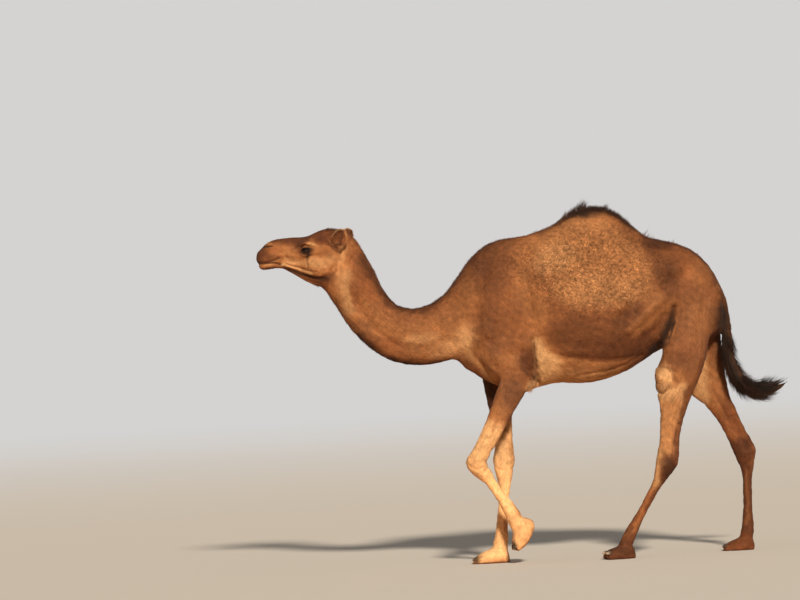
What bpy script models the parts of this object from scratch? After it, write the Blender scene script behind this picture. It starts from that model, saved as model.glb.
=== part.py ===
"""Life-size dromedary camel, walking, as a still display model.

Metres, +Z up. The camel faces -X and its left side faces -Y. The origin is on the floor, under the
middle of the model's box. The right fore, left hind and right hind feet stand on the floor, and the
left fore foot is lifted.

The flesh is modelled whole: lofts through named sections for neck, trunk, head and legs, with muscles
laid over them, fused and smoothed. It is then parted with thin cuts into the pieces a person would
name. Eyes, ears, nails and the tail's tuft are pieces of their own.
"""

import math
from collections import namedtuple

import bmesh
import bpy
import numpy as np
from mathutils import Matrix, Vector

# ---------------------------------------------------------------- driving dimensions, metres
GAP = 0.0004  # clearance between pieces that touch
FLOOR_SINK = 0.012  # how far standing feet are modelled below the floor before they are cut flat

BODY_VOXEL = 0.0075
HEAD_VOXEL = 0.0042
BODY_TRIANGLES = 3400
HEAD_TRIANGLES = 1850

EYE_RADIUS = 0.023
EYE_CENTRE = (-1.262, 0.070, 1.925)  # x, distance from the midline, z
EAR_HALF_WIDTH = 0.050
EAR_THICKNESS = 0.008
NAIL_RADII = (0.024, 0.018, 0.019)  # along the toe, across it, and up
TUFT_TOP = 1.095  # height at which the tail's tuft begins

LEFT, RIGHT = -1, 1

# A section of a loft, across the midline plane: its upper (or front) and lower (or rear) end as
# (x, z), half its width, where along it the width is greatest (0 lower end, 1 upper end), and how
# full its upper and lower halves are (2 is an ellipse, less is more pointed).
Section = namedtuple("Section", "top bottom half_width widest crown keel y", defaults=(0.5, 2.0, 2.0, 0.0))

NECK_AND_TRUNK = [
    Section((-1.028, 2.010), (-1.195, 1.785), 0.062),
    Section((-0.972, 1.976), (-1.182, 1.735), 0.070, 0.55),
    Section((-0.942, 1.930), (-1.165, 1.686), 0.075, 0.53),
    Section((-0.906, 1.860), (-1.135, 1.628), 0.075, 0.52),
    Section((-0.867, 1.787), (-1.106, 1.580), 0.074),
    Section((-0.822, 1.676), (-1.033, 1.453), 0.073),
    Section((-0.781, 1.613), (-0.941, 1.343), 0.076),
    Section((-0.735, 1.570), (-0.816, 1.246), 0.081, 0.48),
    Section((-0.653, 1.548), (-0.671, 1.202), 0.086, 0.46),
    Section((-0.544, 1.572), (-0.503, 1.206), 0.093, 0.45),
    Section((-0.448, 1.635), (-0.398, 1.222), 0.104, 0.44, 1.9),
    Section((-0.380, 1.723), (-0.327, 1.161), 0.122, 0.42, 1.8),
    Section((-0.303, 1.825), (-0.276, 1.111), 0.142, 0.42, 1.75),
    Section((-0.204, 1.903), (-0.201, 1.069), 0.158, 0.44, 1.7),
    Section((-0.108, 1.936), (-0.108, 1.034), 0.170, 0.46, 1.7),
    Section((-0.018, 1.946), (-0.020, 1.022), 0.182, 0.47, 1.75),
    Section((0.073, 1.952), (0.070, 1.036), 0.202, 0.46, 1.8),
    Section((0.190, 1.955), (0.190, 1.056), 0.237, 0.44, 1.9, 2.1),
    Section((0.323, 1.952), (0.323, 1.046), 0.266, 0.42, 1.95, 2.2),
    Section((0.443, 1.945), (0.443, 1.056), 0.280, 0.41, 1.95, 2.2),
    Section((0.533, 1.938), (0.533, 1.080), 0.282, 0.42, 1.95, 2.2),
    Section((0.625, 1.925), (0.627, 1.117), 0.274, 0.43, 1.9, 2.1),
    Section((0.726, 1.905), (0.724, 1.173), 0.254, 0.46, 1.85, 2.0),
    Section((0.845, 1.880), (0.822, 1.226), 0.226, 0.50, 1.8, 1.9),
    Section((0.966, 1.844), (0.930, 1.244), 0.208, 0.56, 1.8, 2.0),
    Section((1.083, 1.764), (1.030, 1.250), 0.190, 0.52, 1.9, 2.2),
    Section((1.155, 1.662), (1.100, 1.275), 0.160, 0.50, 2.0, 2.2),
    Section((1.202, 1.555), (1.160, 1.350), 0.110, 0.50, 2.0, 2.0),
]

HUMP = [
    Section((0.000, 1.935), (0.010, 1.700), 0.090, 0.30, 1.7),
    Section((0.090, 1.966), (0.095, 1.600), 0.160, 0.25, 1.65),
    Section((0.190, 1.997), (0.195, 1.560), 0.192, 0.22, 1.6),
    Section((0.280, 2.040), (0.285, 1.560), 0.205, 0.22, 1.6),
    Section((0.350, 2.080), (0.355, 1.560), 0.210, 0.22, 1.6),
    Section((0.430, 2.097), (0.430, 1.560), 0.212, 0.22, 1.6),
    Section((0.510, 2.087), (0.510, 1.560), 0.210, 0.22, 1.6),
    Section((0.590, 2.047), (0.585, 1.560), 0.204, 0.22, 1.6),
    Section((0.670, 1.979), (0.660, 1.560), 0.188, 0.24, 1.65),
    Section((0.745, 1.917), (0.740, 1.600), 0.150, 0.28, 1.7),
    Section((0.830, 1.872), (0.820, 1.680), 0.080, 0.30, 1.8),
]

# Nose, forehead and brain case, from the upper lip back to the poll.
SKULL = [
    Section((-1.564, 1.908), (-1.566, 1.872), 0.020),
    Section((-1.546, 1.934), (-1.550, 1.857), 0.038),
    Section((-1.519, 1.962), (-1.525, 1.853), 0.049, 0.42, 2.2),
    Section((-1.488, 1.984), (-1.495, 1.854), 0.053, 0.40, 2.2),
    Section((-1.445, 1.999), (-1.453, 1.857), 0.050, 0.40, 2.1),
    Section((-1.398, 2.004), (-1.406, 1.849), 0.046, 0.42, 2.1),
    Section((-1.344, 2.006), (-1.353, 1.832), 0.054, 0.46, 2.2),
    Section((-1.290, 2.004), (-1.301, 1.815), 0.071, 0.55, 2.3, 1.8),
    Section((-1.242, 2.011), (-1.254, 1.800), 0.086, 0.62, 2.4, 1.7),
    Section((-1.200, 2.029), (-1.213, 1.785), 0.089, 0.60, 2.4, 1.8),
    Section((-1.151, 2.044), (-1.166, 1.770), 0.083, 0.55, 2.2),
    Section((-1.104, 2.042), (-1.118, 1.763), 0.077, 0.50, 2.1),
    Section((-1.058, 2.032), (-1.077, 1.780), 0.071, 0.50, 2.0),
    Section((-1.005, 2.010), (-1.037, 1.830), 0.058),
    Section((-0.974, 1.972), (-1.005, 1.870), 0.036),
]

# Lower lip, chin and the two jaw bones, which spread towards the back.
JAW = [
    Section((-1.552, 1.850), (-1.553, 1.835), 0.018),
    Section((-1.535, 1.852), (-1.535, 1.822), 0.034),
    Section((-1.497, 1.858), (-1.497, 1.820), 0.038),
    Section((-1.449, 1.862), (-1.449, 1.826), 0.035),
    Section((-1.396, 1.866), (-1.396, 1.817), 0.038),
    Section((-1.335, 1.870), (-1.337, 1.797), 0.044, 0.55, 2.0, 1.8),
    Section((-1.276, 1.880), (-1.279, 1.777), 0.051, 0.55, 2.0, 1.8),
    Section((-1.216, 1.890), (-1.220, 1.755), 0.060, 0.55, 2.0, 1.9),
    Section((-1.169, 1.890), (-1.173, 1.744), 0.066, 0.55),
    Section((-1.130, 1.880), (-1.134, 1.755), 0.066, 0.55),
    Section((-1.095, 1.860), (-1.100, 1.790), 0.050),
]

# The soft throat between the jaw bones, which hangs below them and runs into the neck.
THROAT = [
    Section((-1.400, 1.850), (-1.398, 1.814), 0.018),
    Section((-1.338, 1.840), (-1.338, 1.778), 0.026),
    Section((-1.280, 1.840), (-1.280, 1.740), 0.032),
    Section((-1.222, 1.840), (-1.222, 1.711), 0.038),
    Section((-1.175, 1.850), (-1.185, 1.699), 0.046),
    Section((-1.120, 1.860), (-1.160, 1.672), 0.058),
    Section((-1.060, 1.860), (-1.125, 1.640), 0.062),
]

TAIL = [
    Section((1.196, 1.590), (1.150, 1.545), 0.030),
    Section((1.222, 1.530), (1.168, 1.490), 0.034),
    Section((1.236, 1.450), (1.176, 1.430), 0.033),
    Section((1.247, 1.350), (1.174, 1.340), 0.033),
    Section((1.252, 1.235), (1.180, 1.235), 0.033),
    Section((1.264, 1.130), (1.192, 1.112), 0.035),
    Section((1.300, 1.052), (1.228, 1.012), 0.038),
    Section((1.345, 1.003), (1.290, 0.945), 0.042),
    Section((1.405, 0.981), (1.372, 0.895), 0.043),
    Section((1.470, 0.983), (1.468, 0.918), 0.034),
    Section((1.535, 0.998), (1.540, 0.962), 0.018),
    Section((1.566, 1.004), (1.567, 0.996), 0.005),
]

# Joints of each leg as (x, distance from the midline, z).
FORE_JOINTS = {
    LEFT: {"elbow": (-0.048, 0.150, 1.110), "carpus": (-0.314, 0.145, 0.612),
           "fetlock": (-0.130, 0.112, 0.313), "toe": (-0.088, 0.108, 0.215)},
    RIGHT: {"elbow": (-0.165, 0.150, 1.110), "carpus": (-0.137, 0.135, 0.615),
            "fetlock": (-0.196, 0.125, 0.122), "toe": (-0.206, 0.125, 0.050)},
}
HIND_JOINTS = {
    LEFT: {"hip": (1.000, 0.125, 1.500), "stifle": (0.850, 0.165, 1.090), "hock": (0.815, 0.140, 0.553),
           "fetlock": (0.556, 0.125, 0.124), "toe": (0.530, 0.125, 0.050)},
    RIGHT: {"hip": (1.030, 0.125, 1.500), "stifle": (1.036, 0.165, 1.078), "hock": (1.304, 0.145, 0.580),
            "fetlock": (1.285, 0.130, 0.122), "toe": (1.270, 0.130, 0.050)},
}

# Flesh along a leg: bone, place along it, reach of the flesh in front of and behind the bone's line,
# half its width.
Flesh = namedtuple("Flesh", "bone at front rear half_width")
FORE_FLESH = [
    Flesh("elbow", -0.10, 0.095, 0.085, 0.050),
    Flesh("elbow", 0.03, 0.096, 0.092, 0.056),
    Flesh("elbow", 0.16, 0.088, 0.082, 0.057),
    Flesh("elbow", 0.37, 0.074, 0.068, 0.052),
    Flesh("elbow", 0.60, 0.061, 0.059, 0.045),
    Flesh("elbow", 0.80, 0.058, 0.053, 0.044),
    Flesh("elbow", 0.92, 0.070, 0.053, 0.052),
    Flesh("carpus", 0.00, 0.073, 0.054, 0.057),
    Flesh("carpus", 0.10, 0.072, 0.050, 0.054),
    Flesh("carpus", 0.21, 0.056, 0.042, 0.044),
    Flesh("carpus", 0.33, 0.036, 0.036, 0.033),
    Flesh("carpus", 0.52, 0.032, 0.033, 0.029),
    Flesh("carpus", 0.76, 0.033, 0.035, 0.031),
    Flesh("carpus", 0.92, 0.040, 0.044, 0.040),
    Flesh("fetlock", 0.10, 0.044, 0.046, 0.045),
    Flesh("fetlock", 0.55, 0.048, 0.046, 0.052),
    Flesh("fetlock", 1.00, 0.046, 0.038, 0.048),
]
HIND_FLESH = {
    LEFT: [
        Flesh("hip", 0.00, 0.120, 0.150, 0.060),
        Flesh("hip", 0.30, 0.125, 0.160, 0.075),
        Flesh("hip", 0.60, 0.100, 0.185, 0.080),
        Flesh("hip", 0.85, 0.078, 0.188, 0.074),
        Flesh("stifle", 0.02, 0.098, 0.182, 0.066),
        Flesh("stifle", 0.15, 0.090, 0.158, 0.060),
        Flesh("stifle", 0.35, 0.062, 0.116, 0.050),
        Flesh("stifle", 0.60, 0.054, 0.077, 0.042),
        Flesh("stifle", 0.84, 0.063, 0.060, 0.041),
        Flesh("hock", 0.00, 0.078, 0.058, 0.046),
        Flesh("hock", 0.10, 0.060, 0.050, 0.043),
        Flesh("hock", 0.24, 0.036, 0.036, 0.033),
        Flesh("hock", 0.42, 0.029, 0.030, 0.027),
        Flesh("hock", 0.62, 0.028, 0.029, 0.026),
        Flesh("hock", 0.82, 0.033, 0.033, 0.031),
        Flesh("hock", 0.94, 0.038, 0.038, 0.038),
        Flesh("fetlock", 0.20, 0.042, 0.040, 0.043),
        Flesh("fetlock", 1.00, 0.044, 0.034, 0.045),
    ],
    RIGHT: [
        Flesh("hip", 0.00, 0.120, 0.150, 0.060),
        Flesh("hip", 0.30, 0.135, 0.150, 0.075),
        Flesh("hip", 0.60, 0.115, 0.158, 0.080),
        Flesh("hip", 0.85, 0.105, 0.162, 0.074),
        Flesh("stifle", 0.02, 0.118, 0.166, 0.066),
        Flesh("stifle", 0.15, 0.114, 0.146, 0.060),
        Flesh("stifle", 0.35, 0.069, 0.106, 0.050),
        Flesh("stifle", 0.60, 0.054, 0.077, 0.042),
        Flesh("stifle", 0.84, 0.063, 0.060, 0.041),
        Flesh("hock", 0.00, 0.078, 0.058, 0.046),
        Flesh("hock", 0.10, 0.060, 0.050, 0.043),
        Flesh("hock", 0.24, 0.036, 0.036, 0.033),
        Flesh("hock", 0.42, 0.029, 0.030, 0.027),
        Flesh("hock", 0.62, 0.028, 0.029, 0.026),
        Flesh("hock", 0.82, 0.033, 0.033, 0.031),
        Flesh("hock", 0.94, 0.038, 0.038, 0.038),
        Flesh("fetlock", 0.20, 0.042, 0.040, 0.043),
        Flesh("fetlock", 1.00, 0.044, 0.034, 0.045),
    ],
}
FORE_BONES = ("elbow", "carpus", "fetlock", "toe")
HIND_BONES = ("hip", "stifle", "hock", "fetlock", "toe")

# A foot's outline from heel to toe, in its own frame: distance ahead of the ankle, height of the top
# over the sole, and half its width. The same shape is scaled to each foot's length.
FOOT_PROFILE = [
    (-0.084, 0.036, 0.036),
    (-0.074, 0.066, 0.057),
    (-0.045, 0.096, 0.073),
    (-0.005, 0.094, 0.082),
    (0.035, 0.080, 0.086),
    (0.070, 0.066, 0.083),
    (0.100, 0.053, 0.071),
    (0.118, 0.034, 0.048),
]
FOOT_LENGTH = 0.210
TOE_SPREAD = 0.040  # each toe's distance from the foot's middle line
TOE_TIP = 0.118  # how far ahead of the ankle the toe tips lie


# ---------------------------------------------------------------- materials
def material(name, colour, roughness):
    made = bpy.data.materials.new(name)
    made.use_nodes = True
    shader = made.node_tree.nodes["Principled BSDF"]
    shader.inputs["Base Color"].default_value = (*colour, 1.0)
    shader.inputs["Roughness"].default_value = roughness
    shader.inputs["Metallic"].default_value = 0.0
    return made


def make_materials():
    return {
        "coat": material("brown_coat", (0.25, 0.11, 0.05), 0.85),
        "face": material("face_coat", (0.30, 0.15, 0.07), 0.8),
        "pale": material("pale_leg_coat", (0.52, 0.32, 0.17), 0.8),
        "tuft": material("dark_tail_hair", (0.045, 0.03, 0.022), 0.7),
        "eye": material("eye", (0.012, 0.008, 0.006), 0.08),
        "nail": material("nail_horn", (0.42, 0.34, 0.25), 0.45),
    }


# ---------------------------------------------------------------- shape helpers
def remove_everything():
    for obj in list(bpy.data.objects):
        bpy.data.objects.remove(obj)


def new_object(name, mesh):
    obj = bpy.data.objects.new(name, mesh)
    bpy.context.scene.collection.objects.link(obj)
    return obj


def mesh_from_bmesh(name, shape):
    shape.normal_update()
    bmesh.ops.recalc_face_normals(shape, faces=shape.faces)
    mesh = bpy.data.meshes.new(name)
    shape.to_mesh(mesh)
    shape.free()
    return mesh


def through_stations(stations, spacing):
    """Rows of numbers read at even spacing from a smooth curve through the stations' rows."""
    rows = np.array(stations, float)
    middles = (rows[:, 0:2] + rows[:, 2:4]) / 2
    steps = np.linalg.norm(np.diff(middles, axis=0), axis=1)
    along = np.concatenate([[0.0], np.cumsum(np.maximum(steps, 1e-4))])
    slopes = np.gradient(rows, along, axis=0)
    wanted = np.linspace(0.0, along[-1], max(len(rows), int(along[-1] / spacing) + 1))
    made = []
    for place in wanted:
        i = min(int(np.searchsorted(along, place, side="right")) - 1, len(rows) - 2)
        span = along[i + 1] - along[i]
        t = (place - along[i]) / span
        made.append(
            rows[i] * (1 + 2 * t) * (1 - t) ** 2
            + slopes[i] * span * t * (1 - t) ** 2
            + rows[i + 1] * t * t * (3 - 2 * t)
            + slopes[i + 1] * span * t * t * (t - 1)
        )
    return made


def rounded(value, fullness):
    """A sine or cosine bent so that the curve it draws is a superellipse of this fullness."""
    return math.copysign(abs(value) ** (2 / fullness), value)


def ring_points(row, sides):
    top, bottom = Vector((row[0], 0, row[1])), Vector((row[2], 0, row[3]))
    half_width, widest, crown, keel, y = row[4:9]
    points = []
    for k in range(sides):
        angle = 2 * math.pi * (k + 0.5) / sides
        across, up = math.cos(angle), math.sin(angle)
        fullness = crown if up > 0 else keel
        height = rounded(up, fullness)
        share = widest + height * ((1 - widest) if up > 0 else widest)
        points.append(bottom.lerp(top, share) + Vector((0, y + half_width * rounded(across, fullness), 0)))
    return points


def loft(name, sections, sides=32, spacing=0.02):
    """A closed body through the sections."""
    rows = [(*s.top, *s.bottom, s.half_width, s.widest, s.crown, s.keel, s.y) for s in sections]
    shape = bmesh.new()
    rings = []
    for row in through_stations(rows, spacing):
        rings.append([shape.verts.new(point) for point in ring_points(row, sides)])
    for one, other in zip(rings, rings[1:]):
        for k in range(sides):
            shape.faces.new((one[k], one[(k + 1) % sides], other[(k + 1) % sides], other[k]))
    shape.faces.new(list(reversed(rings[0])))
    shape.faces.new(rings[-1])
    return new_object(name, mesh_from_bmesh(name, shape))


def muscle(name, start, end, depth, thickness, fat=0.0):
    """A spindle of flesh from start to end: half its depth in the side view, half its thickness across.

    fat lengthens it past its ends, as a share of its length.
    """
    start, end = Vector(start), Vector(end)
    line = end - start
    shape = bmesh.new()
    bmesh.ops.create_uvsphere(shape, u_segments=24, v_segments=16, radius=1.0)
    length = line.length / 2 * (1 + fat)
    along = line.normalized()
    across = (Vector((0, 1, 0)) - along * along.y).normalized()
    deep = across.cross(along)
    turn = Matrix((deep, across, along)).transposed().to_4x4()
    place = Matrix.Translation((start + end) / 2) @ turn @ Matrix.Diagonal((depth, thickness, length, 1))
    shape.transform(place)
    return new_object(name, mesh_from_bmesh(name, shape))


def lump(name, centre, radii, tilt=0.0, turn=0.0):
    """An ellipsoid, tilted about Y and turned about Z, in degrees."""
    shape = bmesh.new()
    bmesh.ops.create_uvsphere(shape, u_segments=24, v_segments=16, radius=1.0)
    rotation = Matrix.Rotation(math.radians(turn), 4, "Z") @ Matrix.Rotation(math.radians(tilt), 4, "Y")
    shape.transform(Matrix.Translation(centre) @ rotation @ Matrix.Diagonal((*radii, 1)))
    return new_object(name, mesh_from_bmesh(name, shape))


def box(name, low, high, frame=None):
    """A helper box between two corners, in a frame of its own if one is given."""
    shape = bmesh.new()
    bmesh.ops.create_cube(shape, size=1.0)
    low, high = Vector(low), Vector(high)
    shape.transform(Matrix.Translation((low + high) / 2) @ Matrix.Diagonal((*(high - low), 1)))
    if frame is not None:
        shape.transform(frame)
    return new_object(name, mesh_from_bmesh(name, shape))


def select_only(*objects):
    bpy.ops.object.select_all(action="DESELECT")
    for obj in objects:
        obj.select_set(True)
    bpy.context.view_layer.objects.active = objects[0]


def joined(name, objects):
    select_only(*objects)
    bpy.ops.object.join()
    whole = bpy.context.view_layer.objects.active
    whole.name = name
    return whole


def apply_modifier(obj, kind, **settings):
    modifier = obj.modifiers.new(kind.title(), kind)
    for name, value in settings.items():
        setattr(modifier, name, value)
    select_only(obj)
    bpy.ops.object.modifier_apply(modifier=modifier.name)
    return obj


def weigh(obj, group, share_at):
    """A vertex group whose weights come from a function of each vertex's place."""
    made = obj.vertex_groups.new(name=group)
    for vertex in obj.data.vertices:
        made.add([vertex.index], min(1.0, max(0.0, share_at(vertex.co))), "REPLACE")


def boolean(obj, other, operation):
    return apply_modifier(obj, "BOOLEAN", object=other, operation=operation, solver="EXACT")


def duplicate(obj, name):
    return new_object(name, obj.data.copy())


def swell(obj, by):
    """Moves every vertex out along its normal."""
    normals = [vertex.normal.copy() for vertex in obj.data.vertices]
    for vertex, normal in zip(obj.data.vertices, normals):
        vertex.co += normal * by
    return obj


def triangle_count(obj):
    obj.data.calc_loop_triangles()
    return len(obj.data.loop_triangles)


def ramp(value, start, end):
    t = min(1.0, max(0.0, (value - start) / (end - start)))
    return t * t * (3 - 2 * t)


# ---------------------------------------------------------------- legs
def leg_sections(joints, bones, flesh, side):
    """Sections across each bone, turned gradually where the leg bends."""
    places = [Vector((x, side * y, z)) for x, y, z in (joints[bone] for bone in bones)]
    lines = [b - a for a, b in zip(places, places[1:])]
    made = []
    for part in flesh:
        i = bones.index(part.bone)
        line = lines[i]
        centre = places[i] + line * part.at
        direction = line.normalized()
        if part.at < 0.25 and i > 0:
            share = 0.5 + 0.5 * ramp(part.at, 0.0, 0.25)
            direction = lines[i - 1].normalized().lerp(direction, share)
        elif part.at > 0.75 and i + 1 < len(lines):
            share = 0.5 * ramp(part.at, 0.75, 1.0)
            direction = direction.lerp(lines[i + 1].normalized(), share)
        ahead = Vector((direction.z, 0, -direction.x)).normalized()  # towards the front of the leg
        front = centre + ahead * part.front
        rear = centre - ahead * part.rear
        made.append(Section((front.x, front.z), (rear.x, rear.z), part.half_width, 0.5, 2.1, 2.1, centre.y))
    return made


def foot_frame(ankle, heading, pitch, side, splay=6.0):
    """A foot's own frame: +X heel to toe, +Z up from the sole, its origin on the sole under the ankle."""
    turn = Matrix.Rotation(math.pi + math.radians(heading - side * splay), 4, "Z")
    return Matrix.Translation(ankle) @ turn @ Matrix.Rotation(math.radians(pitch), 4, "Y")


def foot(name, frame, length, width, sink):
    """The pad and its two toes. sink carries the sole below the floor, to be cut flat."""
    scale = length / FOOT_LENGTH
    across = width / 0.176
    pad = [
        Section((x * scale, top * scale), (x * scale, 0.004 - (sink + 0.004) * pad_bulge(x)),
                half * across, 0.34, 2.1, 2.8)
        for x, top, half in FOOT_PROFILE
    ]
    pieces = [loft(name + "_pad", pad, sides=28, spacing=0.008)]
    for hand in (LEFT, RIGHT):
        spread = hand * TOE_SPREAD * across
        toe = [
            Section((x * scale, top * scale), (x * scale, bottom), half * across, 0.45, 2.0, 2.4,
                    spread * (0.75 + 0.25 * ramp(x, 0.0, 0.1)))
            for x, top, bottom, half in (
                (0.020, 0.070, -FLOOR_SINK, 0.030),
                (0.060, 0.064, -FLOOR_SINK, 0.037),
                (0.095, 0.052, -FLOOR_SINK, 0.036),
                (TOE_TIP, 0.040, -FLOOR_SINK, 0.030),
                (TOE_TIP + 0.016, 0.026, 0.002, 0.018),
            )
        ]
        pieces.append(loft(name + "_toe", toe, sides=20, spacing=0.008))
    for piece in pieces:
        piece.data.transform(frame)
    return pieces


def pad_bulge(x):
    """How far the sole bulges at this place along the foot, as a share of its deepest."""
    return math.sqrt(max(0.0, 1 - ((x - 0.017) / 0.102) ** 2))


def nail_shape(name, frame, length, width, hand):
    """A short horn wedge over a toe's tip, rounded in front."""
    scale = length / FOOT_LENGTH
    shape = bmesh.new()
    bmesh.ops.create_uvsphere(shape, u_segments=8, v_segments=5, radius=1.0)
    reach, across, up = NAIL_RADII
    for vertex in shape.verts:
        forward = vertex.co.x
        vertex.co.z *= 1.0 - 0.30 * max(0.0, forward)  # thinner towards the tip
        vertex.co.x = forward * (1.0 - 0.30 * max(0.0, vertex.co.z))  # a sloping upper face
    centre = Vector((TOE_TIP * scale, hand * TOE_SPREAD * width / 0.176, 0.025))
    tilt = Matrix.Rotation(math.radians(12), 4, "Y")
    shape.transform(frame @ Matrix.Translation(centre) @ tilt @ Matrix.Diagonal((reach, across, up, 1)))
    bmesh.ops.triangulate(shape, faces=shape.faces)  # so that its swollen copy folds along the same lines
    return new_object(name, mesh_from_bmesh(name, shape))


# Each ear's root, the way it points and its length, with y as the distance from the midline. The
# right one is laid further back.
Ear = namedtuple("Ear", "root way length")
EARS = {
    LEFT: Ear((-1.081, 0.070, 1.914), (0.30, 0.24, 0.92), 0.122),
    RIGHT: Ear((-1.064, 0.070, 1.917), (0.46, 0.22, 0.86), 0.132),
}

# Each foot: the point of its sole under the ankle, heading in degrees from straight ahead, pitch
# (positive lowers the toes), length, width and how far its sole is modelled below the floor.
Foot = namedtuple("Foot", "origin heading pitch length width sink")
FEET = {
    "fore_left": Foot((-0.044, -0.106, 0.184), 0.0, 60.0, 0.200, 0.176, 0.036),
    "fore_right": Foot((-0.232, 0.125, 0.0), 0.0, 0.0, 0.216, 0.184, FLOOR_SINK),
    "hind_left": Foot((0.517, -0.125, 0.002), 12.0, -6.0, 0.186, 0.152, FLOOR_SINK),
    "hind_right": Foot((1.247, 0.130, 0.0), 0.0, 0.0, 0.188, 0.152, FLOOR_SINK),
}


# ---------------------------------------------------------------- body
def body_muscles():
    """Forms that show through the coat.

    The pairs are given as name, start, end, depth, thickness and fat, with y as the distance from
    the midline.
    """
    pairs = [
        ("scapula", (-0.060, 0.100, 1.800), (-0.215, 0.145, 1.420), 0.125, 0.036, 0.10),
        ("shoulder", (-0.270, 0.130, 1.450), (-0.195, 0.152, 1.290), 0.085, 0.050, 0.10),
        ("upper_arm", (-0.230, 0.140, 1.350), (-0.075, 0.158, 1.120), 0.095, 0.052, 0.20),
        ("triceps", (0.000, 0.125, 1.520), (-0.020, 0.150, 1.160), 0.115, 0.046, 0.10),
        ("haunch", (0.960, 0.120, 1.700), (1.060, 0.120, 1.420), 0.150, 0.075, 0.10),
        ("buttock", (1.135, 0.065, 1.550), (1.105, 0.110, 1.300), 0.075, 0.066, 0.10),
        ("flank_fold", (0.868, 0.165, 1.400), (0.872, 0.165, 1.180), 0.066, 0.036, 0.10),
        ("belly_side", (0.300, 0.140, 1.280), (0.640, 0.140, 1.330), 0.150, 0.120, 0.20),
    ]
    made = []
    for side in (LEFT, RIGHT):
        for name, start, end, depth, thickness, fat in pairs:
            upper = (start[0], side * start[1], start[2])
            lower = (end[0], side * end[1], end[2])
            made.append(muscle(f"{name}_{side}", upper, lower, depth, thickness, fat))
    made.append(lump("breast_pad", (-0.040, 0, 1.050), (0.105, 0.078, 0.045), tilt=-3))
    made.append(lump("seat", (1.105, 0, 1.400), (0.075, 0.090, 0.140)))
    made.append(lump("brisket", (-0.300, 0, 1.235), (0.110, 0.075, 0.090), tilt=40))
    return made


def body_shape():
    """Neck, trunk, hump, legs, feet and dock fused into one mesh."""
    parts = [
        loft("neck_and_trunk", NECK_AND_TRUNK, sides=40, spacing=0.02),
        loft("hump", HUMP, sides=32, spacing=0.02),
        loft("dock", TAIL[:7], sides=16, spacing=0.02),
    ]
    parts += body_muscles()
    for side in (LEFT, RIGHT):
        fore = leg_sections(FORE_JOINTS[side], FORE_BONES, FORE_FLESH, side)
        hind = leg_sections(HIND_JOINTS[side], HIND_BONES, HIND_FLESH[side], side)
        parts.append(loft("foreleg", fore, sides=24, spacing=0.012))
        parts.append(loft("hindleg", hind, sides=24, spacing=0.012))
        stifle = HIND_JOINTS[side]["stifle"]
        knee_cap = (stifle[0] - 0.036, side * (stifle[1] + 0.012), stifle[2] - 0.030)
        parts.append(lump("knee_cap", knee_cap, (0.052, 0.050, 0.066)))
        hock, stifle = (Vector(HIND_JOINTS[side][joint]) for joint in ("hock", "stifle"))
        up = (stifle - hock).normalized()
        heel = Vector((hock.x, side * hock.y, hock.z)) + Vector((0.038, 0, 0.006))
        tendon = heel + Vector((up.x, 0, up.z)) * 0.150 + Vector((0.006, 0, 0))
        parts.append(muscle("hock_tendon", heel, tendon, 0.027, 0.024, fat=0.3))
    for name, spec in FEET.items():
        side = LEFT if name.endswith("left") else RIGHT
        frame = foot_frame(spec.origin, spec.heading, spec.pitch, side)
        parts += foot(name, frame, spec.length, spec.width, spec.sink)
    body = joined("body", parts)
    apply_modifier(body, "REMESH", mode="VOXEL", voxel_size=BODY_VOXEL, use_smooth_shade=True)
    weigh(body, "broad_flesh", broad_flesh_share)
    apply_modifier(body, "SMOOTH", factor=0.5, iterations=6)
    apply_modifier(body, "SMOOTH", factor=0.5, iterations=90, vertex_group="broad_flesh")
    return body


def broad_flesh_share(place):
    """Where creases between muscles are smoothed wide: the trunk, and not the legs, head or tail."""
    above_legs = ramp(place.z, 0.90, 1.20)
    behind_neck = ramp(place.x, -0.95, -0.55)
    before_tail = 1 - ramp(place.x, 1.15, 1.20) * (1 - ramp(place.z, 1.50, 1.60))
    return above_legs * behind_neck * before_tail


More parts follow.
